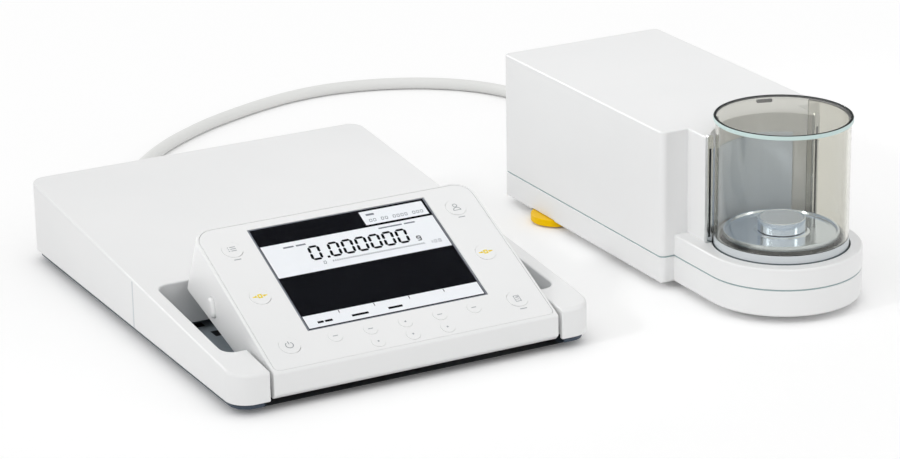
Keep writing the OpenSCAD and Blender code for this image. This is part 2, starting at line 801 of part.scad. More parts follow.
module key_panel() {
  window_w = lcd_w + 2.4;
  window_h = lcd_h + 2.4;
  color(white) difference() {
    panel_block(display_w - 2 * (panel_edge + panel_gap),
      panel_edge + panel_gap, panel_len - panel_edge - panel_gap,
      panel_edge + 2 - panel_gap, display_r - panel_edge - panel_gap, -panel_t, 0);
    in_panel() {
      translate([-window_w / 2, lcd_s + lcd_h / 2 - window_h / 2, -panel_t - 1])
        cube([window_w, window_h, panel_t + 2]);
      for (key = key_list) translate([key[1], key[2], -panel_t - 1])
        cylinder(h = panel_t + 2, r = key[3] + key_gap);
    }
  }
}

module screen_window() {
  window_w = lcd_w + 2.4 - 2 * panel_gap;
  window_h = lcd_h + 2.4 - 2 * panel_gap;
  color("#9fb0b8") in_panel() translate([-window_w / 2, lcd_s + lcd_h / 2 - window_h / 2, -window_t])
    cube([window_w, window_h, window_t]);
}

module screen_unit() {
  color("#55585d") in_panel() translate([-lcd_w / 2 - lcd_edge, lcd_s - lcd_edge, -panel_t - lcd_t])
    cube([lcd_w + 2 * lcd_edge, lcd_h + 2 * lcd_edge, lcd_t]);
}

module display_board() {
  board_n = panel_t + lcd_t;
  margin = 10;
  color(board_green) in_panel() {
    translate([-display_w / 2 + margin, 5, -board_n - circuit_t])
      cube([display_w - 2 * margin, panel_len - 12, circuit_t]);
    for (key = key_list) translate([key[1], key[2], -board_n - 0.1])
      cylinder(h = board_n + 0.1 - dome_n, r = dome_r);
  }
}

// Round key with a flange that keeps it under the panel
module key_cap(key) {
  color("#e2e4e4") in_panel() translate([key[1], key[2], 0]) {
    translate([0, 0, -panel_t - key_seat]) cylinder(h = panel_t + key_seat + key_proud, r = key[3]);
    translate([0, 0, -panel_t - key_seat - key_lip_t]) cylinder(h = key_lip_t, r = key[3] + key_lip);
  }
}

module hinge_pins() {
  reach = 8;
  color(steel) in_control() for (side = [-1, 1]) translate([side * hook_half, hinge_y, hinge_z])
    rotate([0, 90, 0]) cylinder(h = 2 * reach, r = hinge_pin_r, center = true);
}

// Oval button with a flange inside the display's side wall
module release_button(side) {
  wall_in = display_w / 2 - shell_t;
  color(white) in_control() mirror([side < 0 ? 1 : 0, 0, 0]) {
    release_oval(0, wall_in - release_in, display_w / 2 + release_proud);
    release_oval(release_lip, wall_in - 0.1 - release_lip_t, wall_in - 0.1);
  }
}

// Outline of the module's base, drawn in by an inset
module module_plan(inset) {
  plan_rect(module_w - 2 * inset, -module_len + inset, -inset, case_r - inset, case_r - inset);
  front_plan(inset, case_t + 5);
}

// Round front with straight sides, reaching back past the box's front face
module front_plan(inset, back) {
  half = front_r - inset;
  translate([0, chamber_y]) {
    difference() {
      circle(half);
      translate([-front_r, 1]) square([2 * front_r, front_r]);
    }
    translate([-half, 0]) square([2 * half, chamber_front + back]);
  }
}

module module_base() {
  color(white) in_module() {
    difference() {
      translate([0, 0, base_z]) linear_extrude(base_top - base_z) module_plan(0);
      translate([0, 0, base_floor_z]) linear_extrude(base_top) module_plan(case_t);
      for (side = [-1, 1]) translate([side * wheel_x, -wheel_back, 0]) {
        cylinder(h = wheel_z + wheel_t + wheel_room, r = wheel_r + 1);
        cylinder(h = 2 * base_floor_z, r = stud_r + run_gap);
      }
      for (at = module_screws_at) translate([at[0], at[1], 0]) {
        cylinder(h = 2 * base_floor_z, r = screw_r + 0.2);
        cylinder(h = base_z + screw_head_h + 0.2, r = screw_head_r + 0.2);
      }
    }
    for (side = [-1, 1]) translate([side * wheel_x, -wheel_back, base_floor_z]) difference() {
      cylinder(h = stud_z - base_floor_z, r = min(stud_post_r, wheel_inset - case_t));
      translate([0, 0, -1]) cylinder(h = stud_z, r = stud_r + run_gap);
    }
  }
}

module seam_seal() {
  color("#96aaac") in_module() translate([0, 0, base_top]) linear_extrude(seal_t) difference() {
    module_plan(seal_inset);
    module_plan(case_t - 0.2);
  }
}

module module_cover() {
  color(white) in_module() {
    difference() {
      union() {
        translate([0, 0, cover_z]) linear_extrude(module_h - cover_z)
          plan_rect(module_w, -module_len, 0, case_r, case_r);
        translate([-column_half, chamber_y + column_face, plate_z])
          cube([column_w, chamber_front - column_face + case_t, module_h - plate_z]);
      }
      translate([0, 0, cover_z - 1]) linear_extrude(module_h - cover_z + 1 - case_t)
        plan_rect(module_w - 2 * case_t, -module_len + case_t, -case_t, case_r - case_t, case_r - case_t);
      translate([0, chamber_y, plate_z - 1]) cylinder(h = module_h, r = hollow_r);
      translate([socket_x, 0, socket_z]) rotate([90, 0, 0])
        cylinder(h = 3 * case_t, r = socket_r + run_gap, center = true);
    }
    for (at = module_screws_at) {
      translate([at[0], at[1], base_floor_z]) screw_post(50);
      translate([sign(at[0]) * (module_w / 2 - case_t - 1) - 1.4, at[1] - 2, cover_z]) cube([2.8, 4, 40]);
    }
  }
}

// Front plate with the ring's well and a post for the chamber floor
module front_plate() {
  color(white) in_module() difference() {
    union() {
      translate([0, 0, cover_z]) linear_extrude(plate_z - cover_z) front_plan(0, 0);
      translate([0, chamber_y, well_z - 1]) cylinder(h = dish_z - well_z + 1, r = hub_r);
    }
    translate([0, chamber_y, 0]) {
      translate([0, 0, well_z]) difference() {
        cylinder(h = module_h, r = well_r);
        translate([0, 0, -1]) cylinder(h = module_h + 2, r = hub_r);
      }
      cylinder(h = module_h, r = stem_r + 3);
      translate([pinion_x, 0, 0]) cylinder(h = module_h, r = motor_shaft_r + 1);
    }
  }
}

module column_trims() {
  z0 = plate_z;
  strip_h = module_h + trim_up - z0;
  color(steel) on_axis() for (side = [-1, 1])
    translate([side * (trim_in + trim_w / 2), column_face, z0]) rotate([90, 0, 0]) linear_extrude(trim_t)
      difference() {
        union() {
          translate([-trim_w / 2, 0]) square([trim_w, strip_h - trim_w / 2]);
          translate([0, strip_h - trim_w / 2]) circle(trim_w / 2);
        }
        translate([-trim_slit / 2, 4]) square([trim_slit, strip_h - 13]);
      }
}

// Sheet that lines the hollow of the column
module chamber_back() {
  z0 = ring_top + ring_gap;
  color("#b9c6cf") on_axis() translate([0, 0, z0]) rotate([0, 0, 90 - back_half])
    rotate_extrude(angle = 2 * back_half)
    translate([hollow_r - 0.3 - back_t, 0]) square([back_t, module_h - back_drop - z0]);
}

module door_glass() {
  color("#cfd8d6", 0.4) on_axis() translate([0, 0, ring_top]) rotate([0, 0, 90 + door_rear_half])
    rotate_extrude(angle = door_arc) translate([glass_r - glass_t, 0]) square([glass_t, glass_z - ring_top]);
}

// Row of straight-sided teeth between two radii
module teeth(n, root_r, tip_r, root_w, tip_w) {
  for (i = [0:n - 1]) rotate(360 * i / n)
    polygon([[root_r, -root_w / 2], [tip_r, -tip_w / 2], [tip_r, tip_w / 2], [root_r, root_w / 2]]);
}

module door_ring() {
  root_r = pitch_r + gear_ded;
  gear_h = pinion_h + 1;
  color("#cdd2d4") on_axis() {
    translate([0, 0, skirt_bottom]) linear_extrude(gear_h) rotate(180 / ring_teeth) {
      difference() {
        circle(ring_r - 0.4);
        circle(root_r);
      }
      teeth(ring_teeth, root_r + 0.3, pitch_r - gear_add,
        tooth_w + 2 * gear_ded * tooth_slope, tooth_w - 2 * gear_add * tooth_slope);
    }
    translate([0, 0, skirt_bottom + gear_h - eps])
      linear_extrude(ring_top - skirt_bottom - gear_h + eps) difference() {
      circle(ring_r);
      circle(glass_r - glass_t - ring_lip);
    }
  }
}

module door_pinion() {
  z0 = skirt_bottom + 0.5;
  root_r = pinion_r - gear_ded;
  color("#e7e3d4") on_axis() translate([pinion_x, 0, 0]) {
    translate([0, 0, z0]) linear_extrude(pinion_h) {
      circle(root_r);
      teeth(pinion_teeth, root_r - 0.3, pinion_r + 0.9 * gear_add,
        tooth_w + 2 * gear_ded * tooth_slope, tooth_w - 1.8 * gear_add * tooth_slope);
    }
    translate([0, 0, base_floor_z + 4]) cylinder(h = z0 - base_floor_z - 3, r = motor_shaft_r);
  }
}

module door_motor() {
  color("#8d9196") on_axis() translate([pinion_x, 0, base_floor_z]) difference() {
    union() {
      cylinder(h = cover_z - base_floor_z, r = motor_r);
      translate([0, 0, cover_z - base_floor_z - 1.5]) for (turn = [0, 180]) rotate([0, 0, turn])
        translate([0, motor_r, 0]) cylinder(h = 1.5, r = 3);
    }
    translate([0, 0, 3]) cylinder(h = cover_z, r = motor_shaft_r + run_gap);
  }
}

module lid_glass() {
  color("#cfe3de", 0.5) on_axis() translate([0, 0, lid_z]) cylinder(h = lid_t, r = glass_r + lid_over);
}

// Small grip under the lid's rear rim
module lid_tab() {
  tab_l = 10;
  tab_d = 2.5;
  tab_h = 1.8;
  color("#4a5054") on_axis() rotate([0, 0, tab_turn])
    translate([glass_r - glass_t - 1.2 - tab_d, -tab_l / 2, lid_z - tab_h]) cube([tab_d, tab_l, tab_h]);
}

module chamber_floor() {
  rim_w = 1.4;
  color(steel) on_axis() translate([0, 0, dish_z]) rotate_extrude() polygon([
    [stem_r + 2, 0], [dish_r, 0], [dish_r, dish_rim_h], [dish_r - rim_w, dish_rim_h],
    [dish_r - rim_w - 1, dish_t],
    [pan_r + 3, dish_t], [pan_r + 1.5, dish_t + 0.8], [stem_r + 2, dish_t + 0.8]
  ]);
}

module weighing_pan() {
  bore_top = pan_z - stem_seat + 0.1;
  color(steel) on_axis() difference() {
    union() {
      translate([0, 0, pan_z - pan_h]) cylinder(h = pan_h, r = pan_r);
    }
    translate([0, 0, pan_z - pan_h - 1]) difference() {
      cylinder(h = pan_h + 1 - 2 * pan_t, r = pan_r - pan_t);
      cylinder(h = pan_h + 1, r = stem_r + 1.6);
    }
    translate([0, 0, pan_z - 0.5]) cylinder(h = 1, r = pan_r - 1.3);
    translate([0, 0, pan_z - pan_h - 1]) cylinder(h = bore_top - pan_z + pan_h + 1, r = stem_r + run_gap);
  }
}

// Stem under the pan and the arm that leads to the weigh cell
module pan_carrier() {
  color("#b6b9bc") on_axis() translate([0, 0, base_floor_z + carrier_gap]) {
    cylinder(h = pan_z - stem_seat - base_floor_z - carrier_gap, r = stem_r);
    translate([-carrier_w / 2, 0, 0]) cube([carrier_w, chamber_front + case_t + cell_back, carrier_h]);
  }
}

// Aluminium block with the slots of its parallel guide
module weigh_cell_block() {
  bridge = cell_slot_z + cell_slot + 4.5;
  color("#b9bcc0") in_module() translate([0, -module_len + case_t + cell_back, base_floor_z]) difference() {
    translate([-cell_w / 2, 0, 0]) cube([cell_w, cell_l, cell_h]);
    for (z = [cell_slot_z, cell_h - cell_slot_z]) translate([-cell_w, cell_end, z])
      cube([2 * cell_w, cell_l - cell_end - cell_hinge, cell_slot]);
    translate([-cell_w, cell_hinge, bridge])
      cube([2 * cell_w, cell_l - 2 * cell_hinge - cell_end, cell_h - 2 * bridge]);
  }
}

module weigh_lever() {
  lever_z = base_floor_z + cell_h + lever_gap;
  pivot_y = -module_len + case_t + cell_back + pivot_back;
  color("#d0b46a") in_module() {
    translate([-lever_w / 2, pivot_y - cell_hinge, lever_z])
      cube([lever_w, -coil_back - pivot_y + cell_hinge + lever_w / 2, lever_h]);
    translate([-lever_w / 2, pivot_y - lever_w / 3, lever_z - lever_gap])
      cube([lever_w, 2 * lever_w / 3, lever_gap + eps]);
    translate([0, -coil_back, lever_z - coil_h]) difference() {
      cylinder(h = coil_h + eps, r = coil_r);
      translate([0, 0, -1]) cylinder(h = coil_h, r = coil_r - coil_t);
    }
  }
}

module magnet_pot() {
  color("#7d8288") in_module() translate([0, -coil_back, base_floor_z]) difference() {
    cylinder(h = pot_h, r = pot_r);
    translate([0, 0, pot_h - pot_slot_h]) difference() {
      cylinder(h = 2 * pot_slot_h, r = pot_slot_r);
      translate([0, 0, -1]) cylinder(h = 3 * pot_slot_h, r = pot_core_r);
    }
  }
}

module module_board() {
  board_x = -module_w / 2 + case_t;
  edge = 2 * stand_r;
  color(board_green) in_module() translate([board_x, -signal_back - signal_l, signal_z]) {
    translate([signal_gap, 0, 0]) cube([circuit_t, signal_l, signal_h]);
    translate([signal_gap + circuit_t - 0.1, (signal_l - signal_chip) / 2, (signal_h - signal_chip) / 2])
      cube([chip_h, signal_chip, signal_chip]);
    for (y = [edge, signal_l - edge], z = [edge, signal_h - edge]) translate([0, y, z])
      rotate([0, 90, 0]) cylinder(h = signal_gap + 0.5, r = stand_r);
  }
}

// Round-edged wheel on its threaded stud, seated on the pad's pin
module levelling_wheel(side) {
  round_r = wheel_t / 2;
  color("#f0b90c") in_module() translate([side * wheel_x, -wheel_back, wheel_z]) difference() {
    union() {
      cylinder(h = wheel_t, r = wheel_r - round_r);
      rotate_extrude() translate([wheel_r - round_r, round_r]) circle(round_r);
      cylinder(h = stud_z - wheel_z, r = stud_r);
    }
    translate([0, 0, -1]) cylinder(h = pad_h - wheel_z + 1.2, r = pad_r + 0.4);
    translate([0, 0, -1]) cylinder(h = wheel_t + 1, r = pad_pin_r + run_gap);
  }
}

module levelling_pad(side) {
  color("#2a2d31") in_module() translate([side * wheel_x, -wheel_back, 0]) {
    cylinder(h = pad_h, r = pad_r);
    cylinder(h = wheel_z + wheel_t - 0.3, r = pad_pin_r);
  }
}

module front_foot() {
  color("#2a2d31") on_axis() translate([0, -front_foot_fwd, 0]) cylinder(h = base_z, r = front_foot_r);
}

module module_screws() {
  color(steel) in_module() for (at = module_screws_at) translate([at[0], at[1], base_z]) case_screw();
}

control_base_tray();
control_top_cover();
control_rear_skirt();
control_feet();
control_screws();
main_board();
power_inlet();
module_cable();
cable_relief();
cable_plug();
module_socket();
display_housing();
display_back_cover();
key_panel();
screen_window();
screen_unit();
display_board();
for (key = key_list) key_cap(key);
hinge_pins();
release_button(-1);  // release_button_left
release_button(1);  // release_button_right
module_base();
module_cover();
seam_seal();
front_plate();
column_trims();
chamber_back();
door_glass();
door_ring();
door_motor();
door_pinion();
lid_glass();
lid_tab();
chamber_floor();
weighing_pan();
pan_carrier();
weigh_cell_block();
weigh_lever();
magnet_pot();
module_board();
levelling_wheel(-1);  // levelling_wheel_left
levelling_wheel(1);  // levelling_wheel_right
levelling_pad(-1);  // levelling_pad_left
levelling_pad(1);  // levelling_pad_right
front_foot();
module_screws();
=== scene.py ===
import json
import math
import bmesh
import bpy
from mathutils import Matrix, Vector


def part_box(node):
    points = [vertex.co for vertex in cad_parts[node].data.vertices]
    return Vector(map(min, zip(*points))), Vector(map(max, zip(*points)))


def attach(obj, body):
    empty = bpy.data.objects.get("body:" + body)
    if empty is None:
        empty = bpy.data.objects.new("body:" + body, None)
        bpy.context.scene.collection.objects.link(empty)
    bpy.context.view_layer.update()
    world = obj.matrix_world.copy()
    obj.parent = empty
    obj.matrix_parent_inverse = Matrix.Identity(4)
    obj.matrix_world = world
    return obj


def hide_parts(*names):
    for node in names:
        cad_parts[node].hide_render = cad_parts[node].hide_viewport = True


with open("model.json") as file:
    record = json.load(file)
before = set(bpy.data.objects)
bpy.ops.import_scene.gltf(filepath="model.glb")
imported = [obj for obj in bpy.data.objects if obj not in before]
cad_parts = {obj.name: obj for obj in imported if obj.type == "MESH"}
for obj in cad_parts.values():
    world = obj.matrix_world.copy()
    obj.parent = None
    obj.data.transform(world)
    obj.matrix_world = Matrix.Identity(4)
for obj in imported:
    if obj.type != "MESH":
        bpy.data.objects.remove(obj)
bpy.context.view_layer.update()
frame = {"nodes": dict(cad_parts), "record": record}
nodes = frame["nodes"]
record = frame["record"]
bodyOf = {node: body for body, names in record["behaviour"]["bodies"].items() for node in names}
slotOf = {row["node"]: row["material_slot"] for row in record["subparts"]}
mm = 0.001
print("frame loaded:", len(nodes), "nodes")

# places of both units, in mm
layout = {
    "controlX": -105,  # middle of the control unit
    "controlRearY": 179.25,
    "controlDepth": 320,
    "moduleX": 157.5,  # middle of the weighing module
    "moduleRearY": 120.25,
    "axisY": -128.25,  # axis of the draft shield
    "lipZ": 24.1,  # front edge of the display's face
    "panelTilt": 24.3,  # degrees
}
lipY = layout["controlRearY"] - layout["controlDepth"]


def shift(x, y, z):
    return Matrix.Translation((x * mm, y * mm, z * mm))


def turnX(degrees):
    return Matrix.Rotation(math.radians(degrees), 4, "X")


panelFrame = shift(layout["controlX"], lipY, layout["lipZ"]) @ turnX(layout["panelTilt"])
fromPanel = panelFrame.inverted()
axisFrame = shift(layout["moduleX"], layout["axisY"], 0)


# a point in mm, seen from a unit's middle plane and its rear, from the shield's axis,
# or in the frame of the display's face
def inControl(p):
    return abs(p.x - layout["controlX"]), p.y - layout["controlRearY"], p.z


def inModule(p):
    return abs(p.x - layout["moduleX"]), p.y - layout["moduleRearY"], p.z


def inShield(p):
    return abs(p.x - layout["moduleX"]), p.y - layout["axisY"], p.z


def fromAxis(p):
    x, y = inShield(p)[:2]
    return math.hypot(x, y)


def inPanel(p):
    return fromPanel @ (p * mm) / mm


# camera, fitted to the photo's edges
cameraView = {
    "place": (-916, -1719.75, 726),
    "pitch": 19.56,
    "azimuth": -27.80,
    "roll": -0.91,
    "lens": 129.5,
    "sensor": 36,
    "farthest": 50,  # metres
}


def makeCamera(spec):
    pitch, azimuth, roll = (math.radians(spec[k]) for k in ("pitch", "azimuth", "roll"))
    level = math.cos(pitch)
    back = Vector((math.sin(azimuth) * level, -math.cos(azimuth) * level, math.sin(pitch)))
    right = (-back).cross(Vector((0, 0, 1))).normalized()
    up = right.cross(-back)
    across = right * math.cos(roll) + up * math.sin(roll)
    upright = up * math.cos(roll) - right * math.sin(roll)
    data = bpy.data.cameras.new("photoCamera")
    data.lens = spec["lens"]
    data.sensor_width = spec["sensor"]
    data.clip_end = spec["farthest"]
    camera = bpy.data.objects.new("photoCamera", data)
    bpy.context.scene.collection.objects.link(camera)
    turn = Matrix((across, upright, back)).transposed().to_4x4()
    camera.matrix_world = shift(*spec["place"]) @ turn
    bpy.context.scene.camera = camera


makeCamera(cameraView)
print("camera set")


def linear(hexText):
    parts = [int(hexText[i:i + 2], 16) / 255 for i in (1, 3, 5)]
    return tuple(c / 12.92 if c <= 0.04045 else ((c + 0.055) / 1.055) ** 2.4 for c in parts) + (1,)


def addNode(tree, kind, settings=None, links=None):
    node = tree.nodes.new(kind)
    for name, value in (settings or {}).items():
        if name in node.inputs:
            node.inputs[name].default_value = value
        else:
            setattr(node, name, value)
    for socket, source in (links or {}).items():
        tree.links.new(source, node.inputs[socket])
    return node


def newMaterial(name, settings):
    material = bpy.data.materials.new(name)
    material.use_nodes = True
    tree = material.node_tree
    tree.nodes.clear()
    shader = addNode(tree, "ShaderNodeBsdfPrincipled", settings)
    addNode(tree, "ShaderNodeOutputMaterial", links={"Surface": shader.outputs[0]})
    place = addNode(tree, "ShaderNodeTexCoord").outputs["Object"]
    return material, tree, shader, place


# noise with patches of a size in mm
def addNoise(tree, place, sizeMm, detail):
    settings = {"Scale": 1 / (sizeMm * mm), "Detail": detail}
    return addNode(tree, "ShaderNodeTexNoise", settings, {"Vector": place})


# a pattern gives the roughness between two values, and a bump with a depth in mm if there is one
def addGloss(tree, shader, pattern, low, high, bump=0, depthMm=0):
    gloss = addNode(tree, "ShaderNodeMapRange", {"To Min": low, "To Max": high}, {"Value": pattern})
    tree.links.new(gloss.outputs["Result"], shader.inputs["Roughness"])
    if bump:
        settings = {"Strength": bump, "Distance": depthMm * mm}
        raised = addNode(tree, "ShaderNodeBump", settings, {"Height": pattern})
        tree.links.new(raised.outputs["Normal"], shader.inputs["Normal"])


plasticLook = {"cloudMm": 70, "glossPlay": 0.05, "bump": 0.25}
metalLook = {"waver": 0.6, "glossLow": 0.7, "glossHigh": 1.4, "bump": 0.5}
sheetLook = {"smearMm": 25, "glossPlay": 0.015}
inkLook = {"speckMm": 0.6, "speckShare": 0.04, "shine": 0.04}


# moulded plastics: fine spark-eroded grain, faint cloudiness in the colour
def mouldedPlastic(name, dark, light, roughness, grainMm, grainDepth, shine=0.5):
    material, tree, shader, place = newMaterial(name, {"IOR": 1.5, "Specular IOR Level": shine})
    cloud = addNoise(tree, place, plasticLook["cloudMm"], 2.0)
    tone = addNode(tree, "ShaderNodeValToRGB", links={"Fac": cloud.outputs["Fac"]})
    tone.color_ramp.elements[0].color = linear(dark)
    tone.color_ramp.elements[1].color = linear(light)
    tree.links.new(tone.outputs["Color"], shader.inputs["Base Color"])
    grain = addNoise(tree, place, grainMm, 3.0).outputs["Fac"]
    play = plasticLook["glossPlay"]
    addGloss(tree, shader, grain, roughness - play, roughness + play, plasticLook["bump"], grainDepth)
    return material


# turned or rolled metals: fine rings or streaks in the gloss
def turnedMetal(name, colour, roughness, spacingMm, centre, groove=0.02):
    material, tree, shader, place = newMaterial(name, {"Metallic": 1.0, "Base Color": linear(colour)})
    moved = addNode(tree, "ShaderNodeMapping", {"Location": tuple(-c for c in centre)}, {"Vector": place})
    waves = {"wave_type": "RINGS", "rings_direction": "Z", "Scale": math.pi / 10 / (spacingMm * mm),
             "Distortion": metalLook["waver"], "Detail": 2.0}
    rings = addNode(tree, "ShaderNodeTexWave", waves, {"Vector": moved.outputs[0]}).outputs["Fac"]
    low, high = roughness * metalLook["glossLow"], roughness * metalLook["glossHigh"]
    addGloss(tree, shader, rings, low, high, metalLook["bump"], groove)
    return material


# clear glass and sheet: smooth, with faint smears in the gloss
def clearSheet(name, tint, roughness, ior):
    settings = {"Transmission Weight": 1.0, "Base Color": linear(tint), "IOR": ior}
    material, tree, shader, place = newMaterial(name, settings)
    smear = addNoise(tree, place, sheetLook["smearMm"], 1.0).outputs["Fac"]
    addGloss(tree, shader, smear, roughness, roughness + sheetLook["glossPlay"])
    return material


# printed marks and the screen's own light
def printedInk(name, colour, glow, roughness):
    settings = {"Emission Color": linear(colour), "Emission Strength": glow, "Roughness": roughness,
                "Specular IOR Level": inkLook["shine"]}
    material, tree, shader, place = newMaterial(name, settings)
    speck = addNoise(tree, place, inkLook["speckMm"], 1.0)
    mix = {"Color1": linear(colour), "blend_type": "MULTIPLY", "Fac": inkLook["speckShare"]}
    tone = addNode(tree, "ShaderNodeMixRGB", mix, {"Color2": speck.outputs["Color"]})
    tree.links.new(tone.outputs["Color"], shader.inputs["Base Color"])
    return material


# dark and light tone, roughness, grain and its depth in mm, and the shine where it isn't the usual 0.5
plastics = {
    # injection-moulded ABS from a finely eroded tool: even and softly matt, with no grain to see from afar
    "whiteAbs": ("#e6e7e7", "#ececec", 0.33, 0.9, 0.02),
    # the same ABS from a finer tool: a little cooler, with a shallower grain
    "keyAbs": ("#e0e1e3", "#e6e7e8", 0.34, 0.8, 0.01),
    # ABS coloured through, matt: a dark blue-grey that keeps its tone in shade
    "slateAbs": ("#3c4652", "#46515f", 0.46, 0.9, 0.03, 0.3),
    # pale grey-blue and dull: the light plastic inside the slots, partly its own tone, partly painted light
    # on the shaded floor
    "greyAbs": ("#b9c4cc", "#c4ced5", 0.5, 0.9, 0.03, 0.3),
    "blackAbs": ("#17191c", "#202327", 0.45, 0.9, 0.03),  # moulded ABS, satin black
    # moulded in a strong yellow: little shine, so that the colour stays full
    "yellowAbs": ("#f0be00", "#f8ca02", 0.36, 1.0, 0.02, 0.08),
    "rubber": ("#1c1e20", "#27292c", 0.75, 0.8, 0.05),  # pressed rubber, dull black
    # extruded PVC sheath: smooth along its length, nearly white
    "cablePvc": ("#e2e3e1", "#e9e9e7", 0.48, 1.0, 0.03),
    "plugAbs": ("#b9bdbf", "#c6cacb", 0.42, 0.9, 0.03),  # moulded ABS, light grey
    # moulded with a metallic grey colour: darker than the housings, with the same soft shine
    "ringAbs": ("#c5cacd", "#d0d5d8", 0.36, 0.9, 0.02),
    "lipRubber": ("#5b666a", "#667175", 0.6, 0.8, 0.02),  # painted shade: a grey foot on the ring for the shadow in the gap under it, seen as a thin grey line
    "sealRubber": ("#8fa3a5", "#9fb1b3", 0.6, 0.8, 0.02),  # moulded cord, a dull blue-grey line
    # sprayed and baked enamel: smooth, light and bluish
    "backEnamel": ("#dfeafa", "#e6f0fd", 0.35, 1.2, 0.02),
    # solder lacquer over glass fibre: deep green with a soft shine
    "boardLacquer": ("#1f5a3c", "#2b6d4a", 0.4, 1.5, 0.05),
    "groundEdge": ("#bfd6d3", "#cfe2df", 0.35, 0.8, 0.02),  # ground edge of glass, a pale green-white rim
    "rimShadow": ("#0b1011", "#131a1b", 0.6, 0.8, 0.02, 0.1),  # painted shade: a dark band inside the lid's rim for the ground edge's dark look through the glass
}

# colour, roughness, spacing of the rings in mm, their centre in metres, and their depth in mm
shieldAxis = (layout["moduleX"] * mm, layout["axisY"] * mm, 0)
metals = {
    # turned and polished: sharp reflections, broken by faint rings
    "polishedSteel": ("#e9f1fd", 0.09, 1.6, shieldAxis, 0.03),
    # turned and blasted: bright and even, without reflections
    "satinSteel": ("#f0f6ff", 0.7, 1.8, shieldAxis, 0.1),
    # spun and buffed: reflections drawn out along the rings
    "dishSteel": ("#eaf3ff", 0.16, 2.2, shieldAxis, 0.03),
    "trimSteel": ("#d2d4d4", 0.18, 1.5, (0, 0, 0)),  # rolled strip, bright
    "screwSteel": ("#b9bcbe", 0.3, 1.2, (0, 0, 0)),  # zinc plated, greyish
    "castAluminium": ("#b6b9bc", 0.45, 2.0, (0, 0, 0)),  # cast, dull
    "brass": ("#c9a85a", 0.3, 1.5, (0, 0, 0)),  # turned, warm
}

# tint, roughness and IOR
sheets = {
    # drawn glass with a fine conductive coat: clear, with a grey-brown tint where it is seen on edge
    "shieldGlass": ("#e6e5de", 0.0, 1.5),
    # float glass with a coat against reflections, so its IOR is lower here, and its tint a little greyer
    "lidSheet": ("#d5d4cc", 0.0, 1.18),
    # thin cast acrylic with the same coat: the picture shows with no veil over it
    "windowSheet": ("#fbfcfd", 0.0, 1.03),
}

# colour, glow and roughness
inks = {
    "screenLight": ("#e8e9eb", 0.15, 0.6),  # lit liquid crystal cells
    "screenDark": ("#0d0e13", 0.0, 0.7),  # closed cells, nearly black
    "screenGrey": ("#83868d", 0.0, 0.6),  # half-closed cells
    "greyInk": ("#a3a7ab", 0.0, 0.5),  # pad-printed ink, soft grey
    "yellowInk": ("#f6dc10", 0.0, 0.5),  # pad-printed ink, opaque yellow
}
finish = {name: mouldedPlastic(name, *values) for name, values in plastics.items()}
finish.update({name: turnedMetal(name, *values) for name, values in metals.items()})
finish.update({name: clearSheet(name, *values) for name, values in sheets.items()})
finish.update({name: printedInk(name, *values) for name, values in inks.items()})
print("finishes made:", len(finish))

slotFinish = {
    "white_plastic": "whiteAbs", "key_plastic": "keyAbs", "slate_plastic": "slateAbs",
    "dark_plastic": "blackAbs", "yellow_plastic": "yellowAbs", "gear_plastic": "keyAbs",
    "ring_grey": "ringAbs", "cable_grey": "cablePvc", "rubber": "rubber", "seal": "sealRubber",
    "steel": "screwSteel", "polished_steel": "polishedSteel", "aluminium": "castAluminium",
    "motor": "castAluminium", "brass": "brass", "board": "boardLacquer", "back_sheet": "backEnamel",
    "clear_glass": "shieldGlass", "window": "windowSheet", "screen": "blackAbs",
}
for name, node in nodes.items():
    node.data.materials.clear()
    node.data.materials.append(finish[slotFinish[slotOf[name]]])
nodes["column_trims"].data.materials[0] = finish["trimSteel"]

# limits for picking and smoothing
onFace = 0.1  # mm that an edge may lie off a plane and still count as on it
steep = 0.9  # share of Z above which a direction counts as upright
weld = {"turned": 0.001, "solid": 0.004}  # mm
flatAngle = {"turned": 28, "shell": 32}  # degrees between faces that are shaded as one
sharpAngle = 25  # degrees from which an edge can be rounded
mergeAngle = 0.4  # degrees under which neighbouring faces become one


def only(obj):
    if bpy.context.mode != "OBJECT":
        bpy.ops.object.mode_set(mode="OBJECT")
    bpy.ops.object.select_all(action="DESELECT")
    obj.select_set(True)
    bpy.context.view_layer.objects.active = obj


def settle(obj, name, body, finishes, replaced=()):
    only(obj)
    bpy.ops.object.transform_apply(location=True, rotation=True, scale=True)
    obj.name = name
    obj.data.name = name
    obj.data.materials.clear()
    for key in finishes:
        obj.data.materials.append(finish[key])
    for node in replaced:
        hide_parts(node)
    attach(obj, body)
    return obj


# smooth roundings that leave the large faces flat
def smoothFlats(obj, angle):
    only(obj)
    bpy.ops.object.shade_smooth_by_angle(angle=math.radians(angle))
    even = obj.modifiers.new("evenNormals", "WEIGHTED_NORMAL")
    even.keep_sharp = True
    even.weight = 100
    bpy.ops.object.modifier_apply(modifier="evenNormals")


# round pieces, shaped from a circle by extruding and scaling its edge along a profile of radius and height
def turnProfile(profile, sides=128):
    bpy.ops.object.select_all(action="DESELECT")
    radius, height = profile[0]
    bpy.ops.mesh.primitive_circle_add(vertices=sides, radius=radius * mm, location=(0, 0, height * mm))
    obj = bpy.context.object
    bpy.ops.object.mode_set(mode="EDIT")
    bpy.ops.mesh.select_mode(type="EDGE")
    bpy.ops.mesh.select_all(action="SELECT")
    for nextRadius, nextHeight in profile[1:]:
        bpy.ops.mesh.extrude_region_move(TRANSFORM_OT_translate={"value": (0, 0, (nextHeight - height) * mm)})
        grow = nextRadius / radius
        bpy.ops.transform.resize(value=(grow, grow, 1), center_override=(0, 0, nextHeight * mm))
        radius, height = nextRadius, nextHeight
    bpy.ops.mesh.select_all(action="SELECT")
    bpy.ops.mesh.remove_doubles(threshold=weld["turned"] * mm)
    bpy.ops.mesh.normals_make_consistent(inside=False)
    bpy.ops.object.mode_set(mode="OBJECT")
    smoothFlats(obj, flatAngle["turned"])
    return obj


